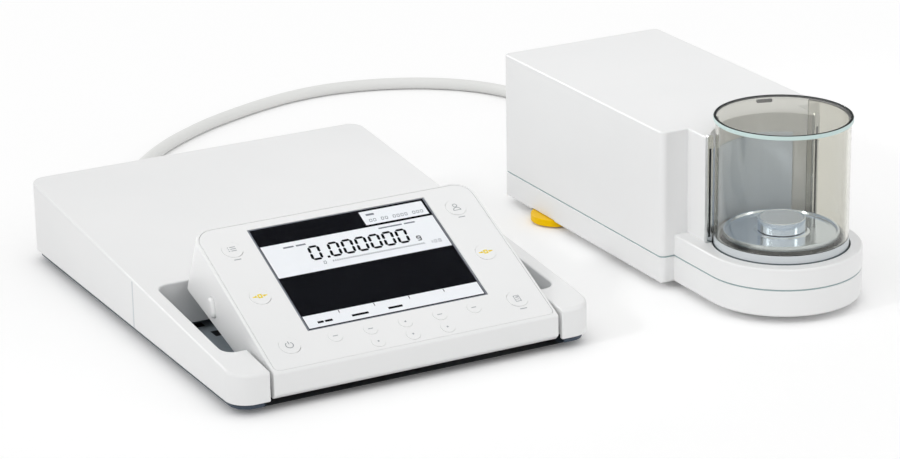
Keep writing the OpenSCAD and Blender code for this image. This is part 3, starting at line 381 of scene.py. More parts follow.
# gives a material slot to the faces whose middle in mm and normal pass a test
def pickFaces(obj, slot, test):
    only(obj)
    bpy.ops.object.mode_set(mode="EDIT")
    bpy.ops.mesh.select_mode(type="FACE")
    bpy.ops.mesh.select_all(action="DESELECT")
    shape = bmesh.from_edit_mesh(obj.data)
    for face in shape.faces:
        face.select = test(face.calc_center_median() / mm, face.normal)
    bmesh.update_edit_mesh(obj.data)
    obj.active_material_index = slot
    bpy.ops.object.material_slot_assign()
    bpy.ops.object.mode_set(mode="OBJECT")


# new edges where a plane crosses the piece, so that its faces can differ on both sides
def cutAcross(obj, place, across):
    only(obj)
    bpy.ops.object.mode_set(mode="EDIT")
    bpy.ops.mesh.select_all(action="SELECT")
    bpy.ops.mesh.bisect(plane_co=Vector(place) * mm, plane_no=across)
    bpy.ops.object.mode_set(mode="OBJECT")


# strain relief with ribs, and the plug with a gripped sleeve, turned about their own axes
# each turn is a radius and a height, counted from the rib's width and start
reliefShape = {
    "place": (-115, 179.25, 20), "sides": 48,
    "start": [(0.02, -6.5), (6, -6.5), (6, -4.5), (8, -4.5), (8, -2.5), (6, -2.5), (6, 3.5)],
    "ribs": 6, "from": 3.5, "pitch": 3.8, "wide": 6, "taper": 1 / 28,
    "turns": [(0, 0.3), (-0.9, 0.6), (-1.0, 1.6), (-0.15, 1.9), (-0.2, 3.5)],
    "end": [(5.05, 27.6), (4.7, 28), (0.02, 28)],
}
plugShape = {
    "place": (177.5, 120.25, 37), "sides": 48,
    "start": [(0.02, -8), (7, -8), (7, 0), (7.6, 0), (8, 0.4), (8, 3)],
    "ribs": 6, "from": 3, "pitch": 2.4, "wide": 8, "taper": 0,
    "turns": [(0, 0), (-0.5, 0.4), (-0.5, 1.0), (0, 1.4), (0, 2.4)],
    "end": [(8, 19.4), (7.6, 20), (7, 20), (6.5, 24), (5.7, 30), (5.0, 35.6), (4.65, 36), (0.02, 36)],
}


def cableEnd(spec):
    profile = list(spec["start"])
    for i in range(spec["ribs"]):
        at = spec["from"] + i * spec["pitch"]
        wide = spec["wide"] - at * spec["taper"]
        profile += [(wide + a, at + b) for a, b in spec["turns"]]
    obj = turnProfile(profile + spec["end"], spec["sides"])
    obj.matrix_world = shift(*spec["place"]) @ turnX(-90) @ obj.matrix_world
    return obj


relief = cableEnd(reliefShape)
settle(relief, "cableRelief", "housings", ["cablePvc"], ["cable_relief"])
plug = cableEnd(plugShape)
settle(plug, "cablePlug", "housings", ["plugAbs"], ["cable_plug"])

# cable on the table behind both units, with the same points as its solid
cable = {
    "radius": 4.4 * mm,
    "roundness": 6,
    "steps": 8,
    "points": [
        (-115, 207.25, 20), (-115, 227.25, 19), (-114.8, 247, 13.6), (-113, 266, 7.8), (-108.5, 283.5, 4.8),
        (-100.5, 298.5, 4.4), (-88.5, 312.4, 4.4), (-75, 326.6, 4.4), (-58, 341.8, 4.4), (-38, 356.2, 4.4),
        (-14, 371, 4.4), (13, 383.7, 4.4), (41, 394.6, 4.4), (70, 402.2, 4.4), (99, 404.4, 4.4),
        (127, 400.2, 4.4), (153, 391.2, 4.4), (176, 378, 4.4), (195, 361, 4.4), (209, 341.5, 4.4),
        (217.5, 320.5, 4.4), (220.5, 299.5, 4.4), (218.5, 279.5, 4.6), (212.5, 261, 6), (204.5, 244, 9.5),
        (196, 228, 15.5), (188, 212.5, 23), (181.6, 198, 29.9), (178.3, 184.6, 34.8), (177.5, 170.25, 37),
        (177.5, 156.25, 37),
    ],
}


# smooth line through all points, in metres
def smoothRoute(points, steps):
    route = [Vector(p) * mm for p in points]
    last = len(route) - 1
    fine = []
    for i in range(last):
        a, b, c, d = route[max(0, i - 1)], route[i], route[i + 1], route[min(last, i + 2)]
        for k in range(steps):
            t = k / steps
            bend = (2 * a - 5 * b + 4 * c - d) * t ** 2 + (3 * b - a - 3 * c + d) * t ** 3
            fine.append(0.5 * (2 * b + (c - a) * t + bend))
    return fine + [route[last]]


def makeCable(spec):
    route = smoothRoute(spec["points"], spec["steps"])
    data = bpy.data.curves.new("moduleCable", "CURVE")
    data.dimensions = "3D"
    data.bevel_depth = spec["radius"]
    data.bevel_resolution = spec["roundness"]
    data.use_fill_caps = True
    spline = data.splines.new("POLY")
    spline.points.add(len(route) - 1)
    for point, place in zip(spline.points, route):
        point.co = (*place, 1)
    data.materials.append(finish["cablePvc"])
    obj = bpy.data.objects.new("moduleCable", data)
    bpy.context.scene.collection.objects.link(obj)
    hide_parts("module_cable")
    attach(obj, "housings")


makeCable(cable)


# a copy of a solid's mesh is the start of each finer shell
def startFrom(node):
    source = nodes[node]
    obj = source.copy()
    obj.data = source.data.copy()
    for key in list(obj.keys()):
        del obj[key]
    obj.parent = None
    obj.matrix_world = source.matrix_world.copy()
    bpy.context.scene.collection.objects.link(obj)
    only(obj)
    bpy.ops.mesh.customdata_custom_splitnormals_clear()
    bpy.ops.object.mode_set(mode="EDIT")
    bpy.ops.mesh.select_all(action="SELECT")
    bpy.ops.mesh.remove_doubles(threshold=weld["solid"] * mm)
    bpy.ops.mesh.dissolve_limited(angle_limit=math.radians(mergeAngle))
    bpy.ops.object.mode_set(mode="OBJECT")
    return obj


# rounds the outer edges; widthAt gives a width in mm for an edge's middle and direction, 0 leaves it sharp
def roundEdges(obj, widest, widthAt, segments=3):
    only(obj)
    bpy.ops.object.mode_set(mode="EDIT")
    shape = bmesh.from_edit_mesh(obj.data)
    weight = shape.edges.layers.float.new("bevel_weight_edge")
    for edge in shape.edges:
        if len(edge.link_faces) == 2 and edge.is_convex and edge.calc_face_angle() > math.radians(sharpAngle):
            middle = (edge.verts[0].co + edge.verts[1].co) / 2 / mm
            along = (edge.verts[1].co - edge.verts[0].co).normalized()
            edge[weight] = widthAt(middle, along) / widest
    bmesh.update_edit_mesh(obj.data)
    bpy.ops.object.mode_set(mode="OBJECT")
    bevel = obj.modifiers.new("rounding", "BEVEL")
    bevel.limit_method = "WEIGHT"
    bevel.width = widest * mm
    bevel.segments = segments
    bevel.use_clamp_overlap = False
    bpy.ops.object.modifier_apply(modifier="rounding")
    smoothFlats(obj, flatAngle["shell"])


def shellFrom(node, name, widest, widthAt, finishes=None, segments=3):
    obj = startFrom(node)
    roundEdges(obj, widest, widthAt, segments)
    return settle(obj, name, bodyOf[node], finishes or [slotFinish[slotOf[node]]], [node])


# control unit's cover: soft upper edges, softer on the arms' front ends
# X counts from the control's middle, Y from its rear
coverShape = {
    "sides": 1.1, "front": 2.4, "recess": 1.1, "lower": 0.6, "seam": 0.55, "ends": 1.2,  # roundings
    "topRear": 54.5, "topFalls": 28 / 320, "topPlay": 0.15,  # the top falls towards the front
    "armX": 97.3, "armFrontY": -305, "endY": -319, "wallX": 119, "rearY": -10.2,
    "lowZ": 7.7, "lowX": 110, "seamY": -171.5, "seamX": 119.5,
}


def coverWidth(p, along):
    x, y, z = inControl(p)
    cover = coverShape
    inFront = y < cover["armFrontY"]
    if abs(z - cover["topRear"] - y * cover["topFalls"]) < cover["topPlay"]:
        if inFront:
            return cover["front"] if x > cover["armX"] else cover["recess"]
        return cover["sides"] if x > cover["wallX"] or y > cover["rearY"] else cover["recess"]
    if z < cover["lowZ"]:
        return cover["lower"] if x > cover["lowX"] or inFront else 0
    if abs(along.z) > steep and y < cover["endY"]:
        return cover["ends"]
    if abs(y - cover["seamY"]) < onFace and x > cover["seamX"]:
        return cover["seam"]
    return 0


shellFrom("control_top_cover", "controlCover", coverShape["front"], coverWidth)

# control unit's rear wall, which meets the cover at the side seam
skirtShape = {"lower": 0.6, "lowZ": 7.7, "wallX": 119, "rearY": -10, "seamY": -170}


def skirtWidth(p, along):
    x, y, z = inControl(p)
    if z < skirtShape["lowZ"]:
        return skirtShape["lower"] if x > skirtShape["wallX"] or y > skirtShape["rearY"] else 0
    atSeam = y < skirtShape["seamY"] and x > skirtShape["wallX"]
    return coverShape["seam"] if atSeam else 0


shellFrom("control_rear_skirt", "rearSkirt", skirtShape["lower"], skirtWidth)

# base tray: slate outside, with a paler floor under the display, partly painted light, and a black front
# below its lip as painted shade
trayShape = {"edge": 0.4, "edgeTop": 1.6, "floorTop": 4, "front": -122, "lipHalf": 97.2}
tray = startFrom("control_base_tray")
cutAcross(tray, (0, trayShape["front"], 0), (0, 1, 0))
for side in (-1, 1):
    cutAcross(tray, (layout["controlX"] + side * trayShape["lipHalf"], 0, 0), (1, 0, 0))
roundEdges(tray, trayShape["edge"],
           lambda p, along: trayShape["edge"] if p.z < trayShape["edgeTop"] else 0, segments=2)
settle(tray, "baseTray", bodyOf["control_base_tray"],
       ["slateAbs", "greyAbs", "blackAbs"], ["control_base_tray"])


def onTrayFloor(p, normal):
    return normal.z > steep and abs(p.z - trayShape["floorTop"]) < onFace and p.y > trayShape["front"]


def shadeUnderLip(p, normal):
    return p.y < trayShape["front"] and inControl(p)[0] < trayShape["lipHalf"]


# paler floor in the slots: partly painted light
pickFaces(tray, 1, onTrayFloor)
# black front under the lip: painted shade where the lip's shadow falls
pickFaces(tray, 2, shadeUnderLip)

# display wedge, seen in its own tilted frame: X from its middle, S up along its face
wedgeShape = {
    "face": 1.0, "lip": 1.5, "body": 0.9, "inner": 0.15,  # roundings
    "cornerX": 81.75, "cornerS": 113.5, "cornerRadius": 12.6,  # round upper corners
    "faceX": 94.4, "bodyX": 94.3, "topS": 126.2, "lipS": 0.3, "lipDepth": 3.2,
}


def wedgeWidth(p, along):
    q = inPanel(p)
    x, s = abs(q.x), q.y
    wedge = wedgeShape
    if q.z > -onFace:
        if s < wedge["lipS"]:
            return wedge["lip"]
        outside = x > wedge["faceX"] or s > wedge["topS"]
        if x > wedge["cornerX"] and s > wedge["cornerS"]:
            outside = math.hypot(x - wedge["cornerX"], s - wedge["cornerS"]) > wedge["cornerRadius"]
        return wedge["face"] if outside else wedge["inner"]
    onBody = x > wedge["bodyX"] or s > wedge["topS"] or p.y - lipY < wedge["lipDepth"]
    return wedge["body"] if onBody else 0


shellFrom("display_housing", "displayWedge", wedgeShape["lip"], wedgeWidth)

# key panel: rounded outside, sharp round the window and the keys
panelShape = {"edge": 0.5, "windowX": 70, "keysFrom": 75, "keysTo": 83, "topS": 120, "lipS": 3}


def panelWidth(p, along):
    q = inPanel(p)
    x, s = abs(q.x), q.y
    outside = x > panelShape["windowX"] and not panelShape["keysFrom"] < x < panelShape["keysTo"]
    outside = outside or s > panelShape["topS"] or s < panelShape["lipS"]
    return panelShape["edge"] if outside and q.z > -onFace else 0


def pieceName(node, start):
    return node.title().replace("_", "").replace("Key", start)


shellFrom("key_panel", "keyPanel", panelShape["edge"], panelWidth, segments=2)
keyEdge = 0.12
for key in [n for n in nodes if n.startswith("key_") and n != "key_panel"]:
    shellFrom(key, pieceName(key, "keyCap"), keyEdge, lambda p, along: keyEdge if inPanel(p).z > 0 else 0,
              ["whiteAbs"], segments=2)

# screen window: a thin clear sheet, so that the picture lies close under it
windowShape = {"edge": 0.1, "back": -0.7, "backRises": 1.2}
window = startFrom("screen_window")
bpy.ops.object.mode_set(mode="EDIT")
shape = bmesh.from_edit_mesh(window.data)
for vert in shape.verts:
    if (fromPanel @ vert.co).z < windowShape["back"] * mm:
        vert.co += panelFrame.to_3x3() @ Vector((0, 0, windowShape["backRises"] * mm))
bmesh.update_edit_mesh(window.data)
bpy.ops.object.mode_set(mode="OBJECT")
roundEdges(window, windowShape["edge"],
           lambda p, along: windowShape["edge"] if inPanel(p).z > -onFace else 0, segments=2)
settle(window, "screenWindow", "display", ["windowSheet"], ["screen_window"])

# release buttons: rounded on their outer ends
releaseShape = {"edge": 1.7, "outX": 96.5}
for side in ("left", "right"):
    shellFrom("release_button_" + side, "releaseButton" + side.title(), releaseShape["edge"],
              lambda p, along: releaseShape["edge"] if inControl(p)[0] > releaseShape["outX"] else 0,
              segments=5)
print("control unit dressed")

# weighing module's box: X counts from the module's middle, Y from its rear
boxShape = {
    "top": 1.2, "column": 0.8, "hollow": 0.5, "lower": 0.4,  # roundings
    "hollowRadius": 45.2, "topZ": 105.4, "lowZ": 23.1,
    "wallX": 56, "rearY": -4.1, "frontY": -199.9, "columnY": -204.1,
}


def boxWidth(p, along):
    x, y, z = inModule(p)
    box = boxShape
    inHollow = fromAxis(p) < box["hollowRadius"]
    if z > box["topZ"]:
        return box["hollow"] if inHollow else box["top"]
    if z < box["lowZ"]:
        return box["lower"] if x > box["wallX"] or y > box["rearY"] or y < box["frontY"] else 0
    if abs(along.z) > steep and y < box["columnY"]:
        return box["hollow"] if inHollow else box["column"]
    return 0


shellFrom("module_cover", "moduleBox", boxShape["top"], boxWidth)

# plate round the shield, and the base under it, which share a round front
# X and Y count from the shield's axis
roundFront = {"radius": 50.7, "endY": 1, "sideX": 50.8}
plateShape = {"rim": 1.4, "well": 0.3, "lower": 0.4, "topZ": 36.4, "lowZ": 23.1, "wellRadius": 43.5}
baseShape = {
    "lower": 1.6, "upper": 0.4, "lowZ": 5.1, "highZ": 21.9, "wallX": 60.2, "rearY": 248.2,
    "sideEndY": 46, "stepX": 51, "stepFrom": 44, "stepTo": 45,  # step from the narrow front to the wide rear
}


def onRoundFront(p):
    return inShield(p)[1] < roundFront["endY"] and fromAxis(p) > roundFront["radius"]


def plateWidth(p, along):
    outside = inShield(p)[0] > roundFront["sideX"] or onRoundFront(p)
    inWell = fromAxis(p) < plateShape["wellRadius"]
    if p.z > plateShape["topZ"]:
        return plateShape["rim"] if outside else plateShape["well"] if inWell else 0
    return plateShape["lower"] if p.z < plateShape["lowZ"] and outside else 0


def baseWidth(p, along):
    x, y, z = inShield(p)
    onSide = x > roundFront["sideX"] and y < baseShape["sideEndY"]
    onStep = x > baseShape["stepX"] and baseShape["stepFrom"] < y < baseShape["stepTo"]
    outside = x > baseShape["wallX"] or y > baseShape["rearY"] or onRoundFront(p) or onSide or onStep
    if outside and z < baseShape["lowZ"]:
        return baseShape["lower"]
    return baseShape["upper"] if outside and z > baseShape["highZ"] else 0


shellFrom("front_plate", "frontPlate", plateShape["rim"], plateWidth, segments=4)
shellFrom("module_base", "moduleBase", baseShape["lower"], baseWidth)

# small pieces with one rounding on all edges
evenEdges = {
    "column_trims": ("columnTrims", 0.35, ["trimSteel"]),
    "control_feet": ("controlFeet", 0.5, None),
    "front_foot": ("frontFoot", 0.5, None),
    "lid_tab": ("lidTab", 0.4, None),
    "door_glass": ("shieldGlass", 0.4, None),
}
for node, (name, width, finishes) in evenEdges.items():
    shellFrom(node, name, width, lambda p, along: width, finishes, segments=2)

# the ring's foot is painted grey as painted shade for the gap under the ring, which shows as a line above the
# plate
ringShape = {"edge": 0.6, "edgeZ": 41.7, "lipTop": 36.95}
ring = startFrom("door_ring")
cutAcross(ring, (0, 0, ringShape["lipTop"]), (0, 0, 1))
roundEdges(ring, ringShape["edge"],
           lambda p, along: ringShape["edge"] if p.z > ringShape["edgeZ"] else 0, segments=2)
settle(ring, "shieldRing", bodyOf["door_ring"], ["ringAbs", "lipRubber"], ["door_ring"])
pickFaces(ring, 1, lambda p, normal: p.z < ringShape["lipTop"])

# weighing pan: thin turned steel with a rolled rim, a satin top and a sleeve on the stem
panShape = {
    "profile": [
        (0.02, 53.0), (13, 53.0), (13.2, 53.0), (13.6, 53.1), (13.9, 53.4), (14.2, 53.5), (14.6, 53.48),
        (14.9, 53.3), (15, 53.0), (15, 46), (14.93, 45.6), (14.7, 45.35), (14.45, 45.3), (14.25, 45.5),
        (14.2, 45.8), (14.2, 51.9), (4.6, 51.9), (4.6, 46.5), (3.05, 46.5), (3.05, 51.3), (0.02, 51.3),
    ],
    "topFrom": 52.9, "topTo": 53.05, "flat": 0.95,
}
pan = turnProfile(panShape["profile"])
pan.matrix_world = axisFrame @ pan.matrix_world
settle(pan, "weighingPan", "pan", ["polishedSteel", "satinSteel"], ["weighing_pan"])
pickFaces(pan, 1, lambda p, normal: normal.z > panShape["flat"]
          and panShape["topFrom"] < p.z < panShape["topTo"])

# chamber floor: spun steel dish with a rounded rim and a raised middle
dishProfile = [
    (5, 42.6), (36.0, 42.6), (36.3, 42.7), (36.4, 43), (36.4, 45.5), (36.3, 45.85), (36.0, 46),
    (35.4, 46), (35.1, 45.9), (34.9, 45.6), (34.4, 44.6), (33.8, 44.25), (33, 44.2), (18, 44.2),
    (17.4, 44.3), (16.6, 44.9), (16, 45), (5, 45), (5, 42.6),
]
dish = turnProfile(dishProfile)
dish.matrix_world = axisFrame @ dish.matrix_world
settle(dish, "chamberFloor", bodyOf["chamber_floor"], ["dishSteel"], ["chamber_floor"])

# levelling wheels: flat discs with a narrow rounded edge, a recess for the pad and a threaded stud above
wheelShape = {
    "left": 107, "right": 208, "y": 67.25, "radius": 17, "low": 1.2, "high": 6, "edge": 0.7,
    "recess": 6.8, "recessTop": 2.4, "bore": 2.05, "stud": 3, "studTop": 17,
    "corner": ((1, 0), (0.5, 0.134), (0.134, 0.5), (0, 1)),  # quarter round, as shares of the edge
}


def wheelProfile(w):
    r, low, high, e = w["radius"], w["low"], w["high"], w["edge"]
    profile = [(0.02, high), (w["bore"], high), (w["bore"], w["recessTop"])]
    profile += [(w["recess"], w["recessTop"]), (w["recess"], low)]
    profile += [(r - e * a, low + e * b) for a, b in w["corner"]]
    profile += [(r - e * a, high - e * b) for a, b in reversed(w["corner"])]
    return profile + [(w["stud"], high), (w["stud"], w["studTop"]), (0.02, w["studTop"])]


for side in ("left", "right"):
    wheel = turnProfile(wheelProfile(wheelShape))
    wheel.matrix_world = shift(wheelShape[side], wheelShape["y"], 0) @ wheel.matrix_world
    node = "levelling_wheel_" + side
    settle(wheel, "levellingWheel" + side.title(), bodyOf[node], ["yellowAbs"], [node])

# lid: clear glass with a ground rim and a dark band inside it, painted shade for the rim's dark look through
# the glass
lidShape = {
    "profile": [
        (0.02, 116.8), (42.4, 116.8), (42.9, 116.8), (43.25, 116.9), (43.4, 117.2), (43.4, 119.2),
        (43.25, 119.5), (43, 119.6), (42.92, 119.5), (42.4, 119.5), (0.02, 119.5),
    ],
    "glue": [(41.6, 116.9), (42.9, 116.9), (42.9, 119.54), (41.6, 119.54), (41.6, 116.9)],
    "groundFrom": 43.15,
    "glueFrom": 41.5, "glueTo": 42.91, "glueLow": 116.85, "glueHigh": 119.6,
    "glueFoot": 116.95, "glueTop": 119.52, "glueTilt": 0.5,
}
lid = turnProfile(lidShape["profile"])
rimShadeBand = turnProfile(lidShape["glue"])
bpy.ops.object.select_all(action="DESELECT")
rimShadeBand.select_set(True)
lid.select_set(True)
bpy.context.view_layer.objects.active = lid
bpy.ops.object.join()
lid.matrix_world = axisFrame @ lid.matrix_world
settle(lid, "lidGlass", "lid", ["lidSheet", "groundEdge", "rimShadow"], ["lid_glass"])


def onRimShadeBand(p, normal):
    inBand = lidShape["glueFrom"] < fromAxis(p) < lidShape["glueTo"]
    inside = lidShape["glueLow"] < p.z < lidShape["glueHigh"]
    onSkin = p.z > lidShape["glueTop"] or p.z < lidShape["glueFoot"] or abs(normal.z) < lidShape["glueTilt"]
    return inBand and inside and onSkin


pickFaces(lid, 1, lambda p, normal: abs(normal.z) < steep and fromAxis(p) > lidShape["groundFrom"])
# the dark band's faces carry the painted shade
pickFaces(lid, 2, onRimShadeBand)
print("weighing module dressed")


# turns and shifts what is selected in edit mode
def layDown(x, y, turn):
    bpy.ops.transform.rotate(value=-math.radians(turn), orient_axis="Z", center_override=(0, 0, 0))
    bpy.ops.transform.translate(value=(x * mm, y * mm, 0))


# flat marks: bars given as middle, length, width and turn, rounds as middle, radius, sides and turn, in mm
def flatMarks(name, body, finishName, place, bars, rounds=(), pointed=0):
    bpy.ops.object.select_all(action="DESELECT")
    bpy.ops.mesh.primitive_plane_add(size=1, location=(0, 0, 0))
    obj = bpy.context.object
    bpy.ops.object.mode_set(mode="EDIT")
    for i, (x, y, length, width, turn) in enumerate(bars):
        if i:
            bpy.ops.mesh.select_all(action="DESELECT")
            bpy.ops.mesh.primitive_plane_add(size=1, location=(0, 0, 0))
        bpy.ops.transform.resize(value=(length * mm, width * mm, 1), center_override=(0, 0, 0))
        layDown(x, y, turn)
    for x, y, radius, sides, turn in rounds:
        bpy.ops.mesh.select_all(action="DESELECT")
        bpy.ops.mesh.primitive_circle_add(vertices=sides, radius=radius * mm, fill_type="NGON",
                                          location=(0, 0, 0))
        layDown(x, y, turn)
    bpy.ops.mesh.select_all(action="SELECT")
    if pointed:
        bpy.ops.mesh.bevel(offset=pointed * mm, affect="VERTICES")
        bpy.ops.mesh.select_all(action="SELECT")
    bpy.ops.mesh.normals_make_consistent(inside=False)
    bpy.ops.object.mode_set(mode="OBJECT")
    obj.matrix_world = place
    return settle(obj, name, body, [finishName])


def onPanel(x, s, n):
    return panelFrame @ shift(x, s, n)


def middleOnPanel(key):
    low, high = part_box(key)
    return fromPanel @ ((Vector(low) + Vector(high)) / 2) / mm


# part of a circle, as short bars that overlap at their ends
def ringBars(x, y, radius, width, start, sweep, count):
    step = sweep / count
    length = 2 * radius * math.sin(math.radians(step / 2)) + width * 0.5
    bars = []
    for i in range(count):
        turn = start + step * (i + 0.5)
        a = math.radians(turn)
        bars.append((x + radius * math.cos(a), y + radius * math.sin(a), length, width, turn + 90))
    return bars


# key prints: plain pictograms on the caps, as ink, bars and rounds
markHeight = {"cap": 0.28, "panel": 0.03, "trayFloor": 4.03}
menuBars = []
for y in (2, 0.4, -1.2):
    menuBars += [(-2.2, y, 0.8, 0.6, 0), (0.8, y, 3.6, 0.6, 0)]
userBars = ringBars(0, 1.6, 1.3, 0.5, 0, 360, 14) + ringBars(0, -2.6, 2.4, 0.5, 0, 180, 12)
userBars += [(0, -2.6, 5.2, 0.5, 0)]
powerBars = ringBars(0, 0, 2.3, 0.55, 125, 290, 20) + [(0, 1.9, 2.4, 0.55, 90)]
sheetBars = [(-1.7, 0, 5, 0.45, 90), (1.7, 0, 5, 0.45, 90), (0, 2.4, 3.8, 0.45, 0), (0, -2.4, 3.8, 0.45, 0),
             (0.3, 1.1, 1.9, 0.9, 0), (0, -0.7, 2, 0.4, 0)]
keyMarks = {
    "key_menu": ("greyInk", menuBars, []),
    "key_user": ("greyInk", userBars, []),
    "key_power": ("greyInk", powerBars, []),
    "key_print": ("greyInk", sheetBars, []),
    "key_up": ("greyInk", [(0, -0.5, 1.2, 0.3, 0)], [(0, 0, 0.9, 3, 90)]),
    "key_down": ("greyInk", [(0, 0.5, 1.2, 0.3, 0)], [(0, 0, 0.9, 3, -90)]),
    "key_left": ("greyInk", [(0.5, 0, 0.3, 1.2, 0)], [(0, 0, 0.9, 3, 180)]),
    "key_right": ("greyInk", [(-0.5, 0, 0.3, 1.2, 0)], [(0, 0, 0.9, 3, 0)]),
}
zeroArrows = [(-0.95, 0, 2.4, 0.85, 90), (0.95, 0, 2.4, 0.85, 90), (0, 1.2, 2.75, 0.85, 0),
              (0, -1.2, 2.75, 0.85, 0), (-3.6, 0, 2.2, 0.85, 0), (3.6, 0, 2.2, 0.85, 0)]
for key in ("key_tare_left", "key_tare_right"):
    keyMarks[key] = ("yellowInk", zeroArrows, [(-2.6, 0, 1.2, 3, 0), (2.6, 0, 1.2, 3, 180)])
for i in range(1, 5):
    keyMarks["key_screen_%d" % i] = ("greyInk", [(0, 0, 3.2, 0.6, 0)], [])
for key, (ink, bars, rounds) in keyMarks.items():
    middle = middleOnPanel(key)
    flatMarks(pieceName(key, "mark"), bodyOf[key], ink,
              onPanel(middle.x, middle.y, markHeight["cap"]), bars, rounds)

# small captions under three of the keys, as plain bars
captionBar = {"below": 8.8, "long": 4.6, "wide": 0.7}
captions = []
for key in ("key_menu", "key_user", "key_print"):
    middle = middleOnPanel(key)
    captions.append((middle.x, middle.y - captionBar["below"], captionBar["long"], captionBar["wide"], 0))
flatMarks("keyCaptions", "display", "greyInk", onPanel(0, 0, markHeight["panel"]), captions)

# picture on the screen: bright and dark fields in a grey border, a plain row of digits and a scale
# a digit's size is its height, width, stroke, gap and lean, between the middles of its strokes
picture = {
    "bigDigit": (10.9, 6.0, 1.75, 0.22, 6), "row": 89.6, "first": -27.4, "second": -14.4, "pitch": 9.2,
    "pointed": 0.46,  # share of the stroke that is cut off at each end's corners
    "unitSign": (3.6, 2.4, 0.75, 0.1, 6),
    "scaleDigit": (2.2, 1.4, 0.4, 0.05, 7), "scaleRow": 80.2,
    "ticks": 42, "ticksFrom": -19.5, "tickPitch": 1.5,
    "clockDigit": (2.2, 1.5, 0.4, 0.05, 7), "clockRow": 107.6, "clockFrom": 18.5, "clockPitch": 2.7,
    "base": -0.38, "dark": -0.34, "bright": -0.3, "marks": -0.26,  # heights of the layers
}


def boxBar(x0, x1, s0, s1):
    return ((x0 + x1) / 2, (s0 + s1) / 2, x1 - x0, s1 - s0, 0)


# bars of a seven-segment digit
def digitBars(x, s, size, lit):
    high, wide, stroke, gap, lean = size
    half, quarter = high / 2, high / 4
    slide = math.tan(math.radians(lean))
    across, down = wide - 2 * gap, half - 2 * gap
    places = {
        "a": (0, half, across, 0), "d": (0, -half, across, 0), "g": (0, 0, across, 0),
        "f": (-wide / 2, quarter, down, 90 - lean), "b": (wide / 2, quarter, down, 90 - lean),
        "e": (-wide / 2, -quarter, down, 90 - lean), "c": (wide / 2, -quarter, down, 90 - lean),
    }
    bars = []
    for px, py, length, turn in (places[k] for k in lit):
        bars.append((x + px + py * slide, s + py, length, stroke, turn))
    return bars


bigDigits = []
for i in range(7):
    x = picture["first"] if i == 0 else picture["second"] + picture["pitch"] * (i - 1)
    bigDigits += digitBars(x, picture["row"], picture["bigDigit"], "abcdef")
screenBase = [boxBar(-60.1, 60.1, 28, 118.4)]
darkFields = [boxBar(-59, 59, 28.8, 117.8)]
brightFields = [boxBar(-58.5, 58.5, 74.1, 102.4), boxBar(-58.5, 58.5, 29.6, 40.1)]
brightFields += [boxBar(14, 57.4, 104.2, 116.2)]
darkMarks = [(-20.6, 84.2, 1.8, 1.8, 0)]  # decimal point
darkMarks += digitBars(41, 85.2, picture["unitSign"], "abcdfg")
darkMarks += [(x, 38.6, 0.5, 2.4, 0) for x in (-35.1, -11.7, 11.7, 35.1)]  # lines between the lower fields
lowerWords = ((-49.5, 4), (-44.2, 5), (-23.4, 11), (0, 9.5))  # middle and length of bars in place of words
darkMarks += [(x, 33.2, length, 1.7, 0) for x, length in lowerWords]
greyMarks = []
for i in range(picture["ticks"]):
    greyMarks.append((picture["ticksFrom"] + picture["tickPitch"] * i, picture["scaleRow"], 0.55, 1.5, 0))
greyMarks += [boxBar(-45, -38, 97.6, 98.9), boxBar(-36.5, -30, 97.6, 98.9)]
greyMarks += [boxBar(20, 36, 99, 100.1), boxBar(37.5, 45, 99, 100.1)]
for x, lit in ((-25, "abcdef"), (47, "bc"), (50, "abcdef"), (53, "abcdef")):
    greyMarks += digitBars(x, picture["scaleRow"], picture["scaleDigit"], lit)
for i in range(14):
    if i not in (2, 5, 10):  # gaps between the groups
        x = picture["clockFrom"] + picture["clockPitch"] * i
        greyMarks += digitBars(x, picture["clockRow"], picture["clockDigit"], "abcdef")
greyMarks += [boxBar(17.5, 23, 112, 113.6)]
screenLayers = (
    ("screenBase", "screenGrey", "base", screenBase, 0),
    ("screenDarkFields", "screenDark", "dark", darkFields, 0),
    ("screenFields", "screenLight", "bright", brightFields, 0),
    ("screenDigits", "screenDark", "marks", bigDigits, picture["bigDigit"][2] * picture["pointed"]),
    ("screenDarkMarks", "screenDark", "marks", darkMarks, 0),
    ("screenSmallMarks", "screenGrey", "marks", greyMarks, 0),
)
for name, ink, layer, bars, pointed in screenLayers:
    flatMarks(name, "display", ink, onPanel(0, 0, picture[layer]), bars, pointed=pointed)

# small black patches on the tray's floor, seen past the arms
darkPatches = [(-184.8, 1, 5.5, 6.5, 0), (-180.8, -17, 5, 9, 0)]
darkPatches += [(2 * layout["controlX"] - x, *others) for x, *others in darkPatches]  # mirrored
trayFloor = shift(0, 0, markHeight["trayFloor"])
flatMarks("trayOpenings", "housings", "blackAbs", trayFloor, darkPatches)


# an upright bar between two heights
def uprightBar(x, spec):
    return (x, (spec["low"] + spec["high"]) / 2, spec["wide"], spec["high"] - spec["low"], 0)


# grey bars in the seams between the control unit's cover and its rear wall: painted shade for the seam gap
seamCord = {"half": 120.03, "y": 7.75, "low": 8.4, "high": 38.2, "wide": 1.8}
for side, sideName in ((-1, "Left"), (1, "Right")):
    facingSide = Matrix(((0, 0, side), (side, 0, 0), (0, 1, 0))).to_4x4()
    wall = shift(layout["controlX"] + side * seamCord["half"], seamCord["y"], 0) @ facingSide
    flatMarks("seamCord" + sideName, "housings", "ringAbs", wall, [uprightBar(0, seamCord)])

# dark bars in the slits of the column's steel strips: painted shade in the slits
slitShade = {"x": 40.06, "y": -107.5, "low": 40.6, "high": 98.4, "wide": 1.3}
facingFront = shift(0, slitShade["y"], 0) @ turnX(90)
slitShadeBars = [uprightBar(layout["moduleX"] + side * slitShade["x"], slitShade) for side in (-1, 1)]
flatMarks("trimGaskets", "housings", "rubber", facingFront, slitShadeBars)
print("marks and picture made")

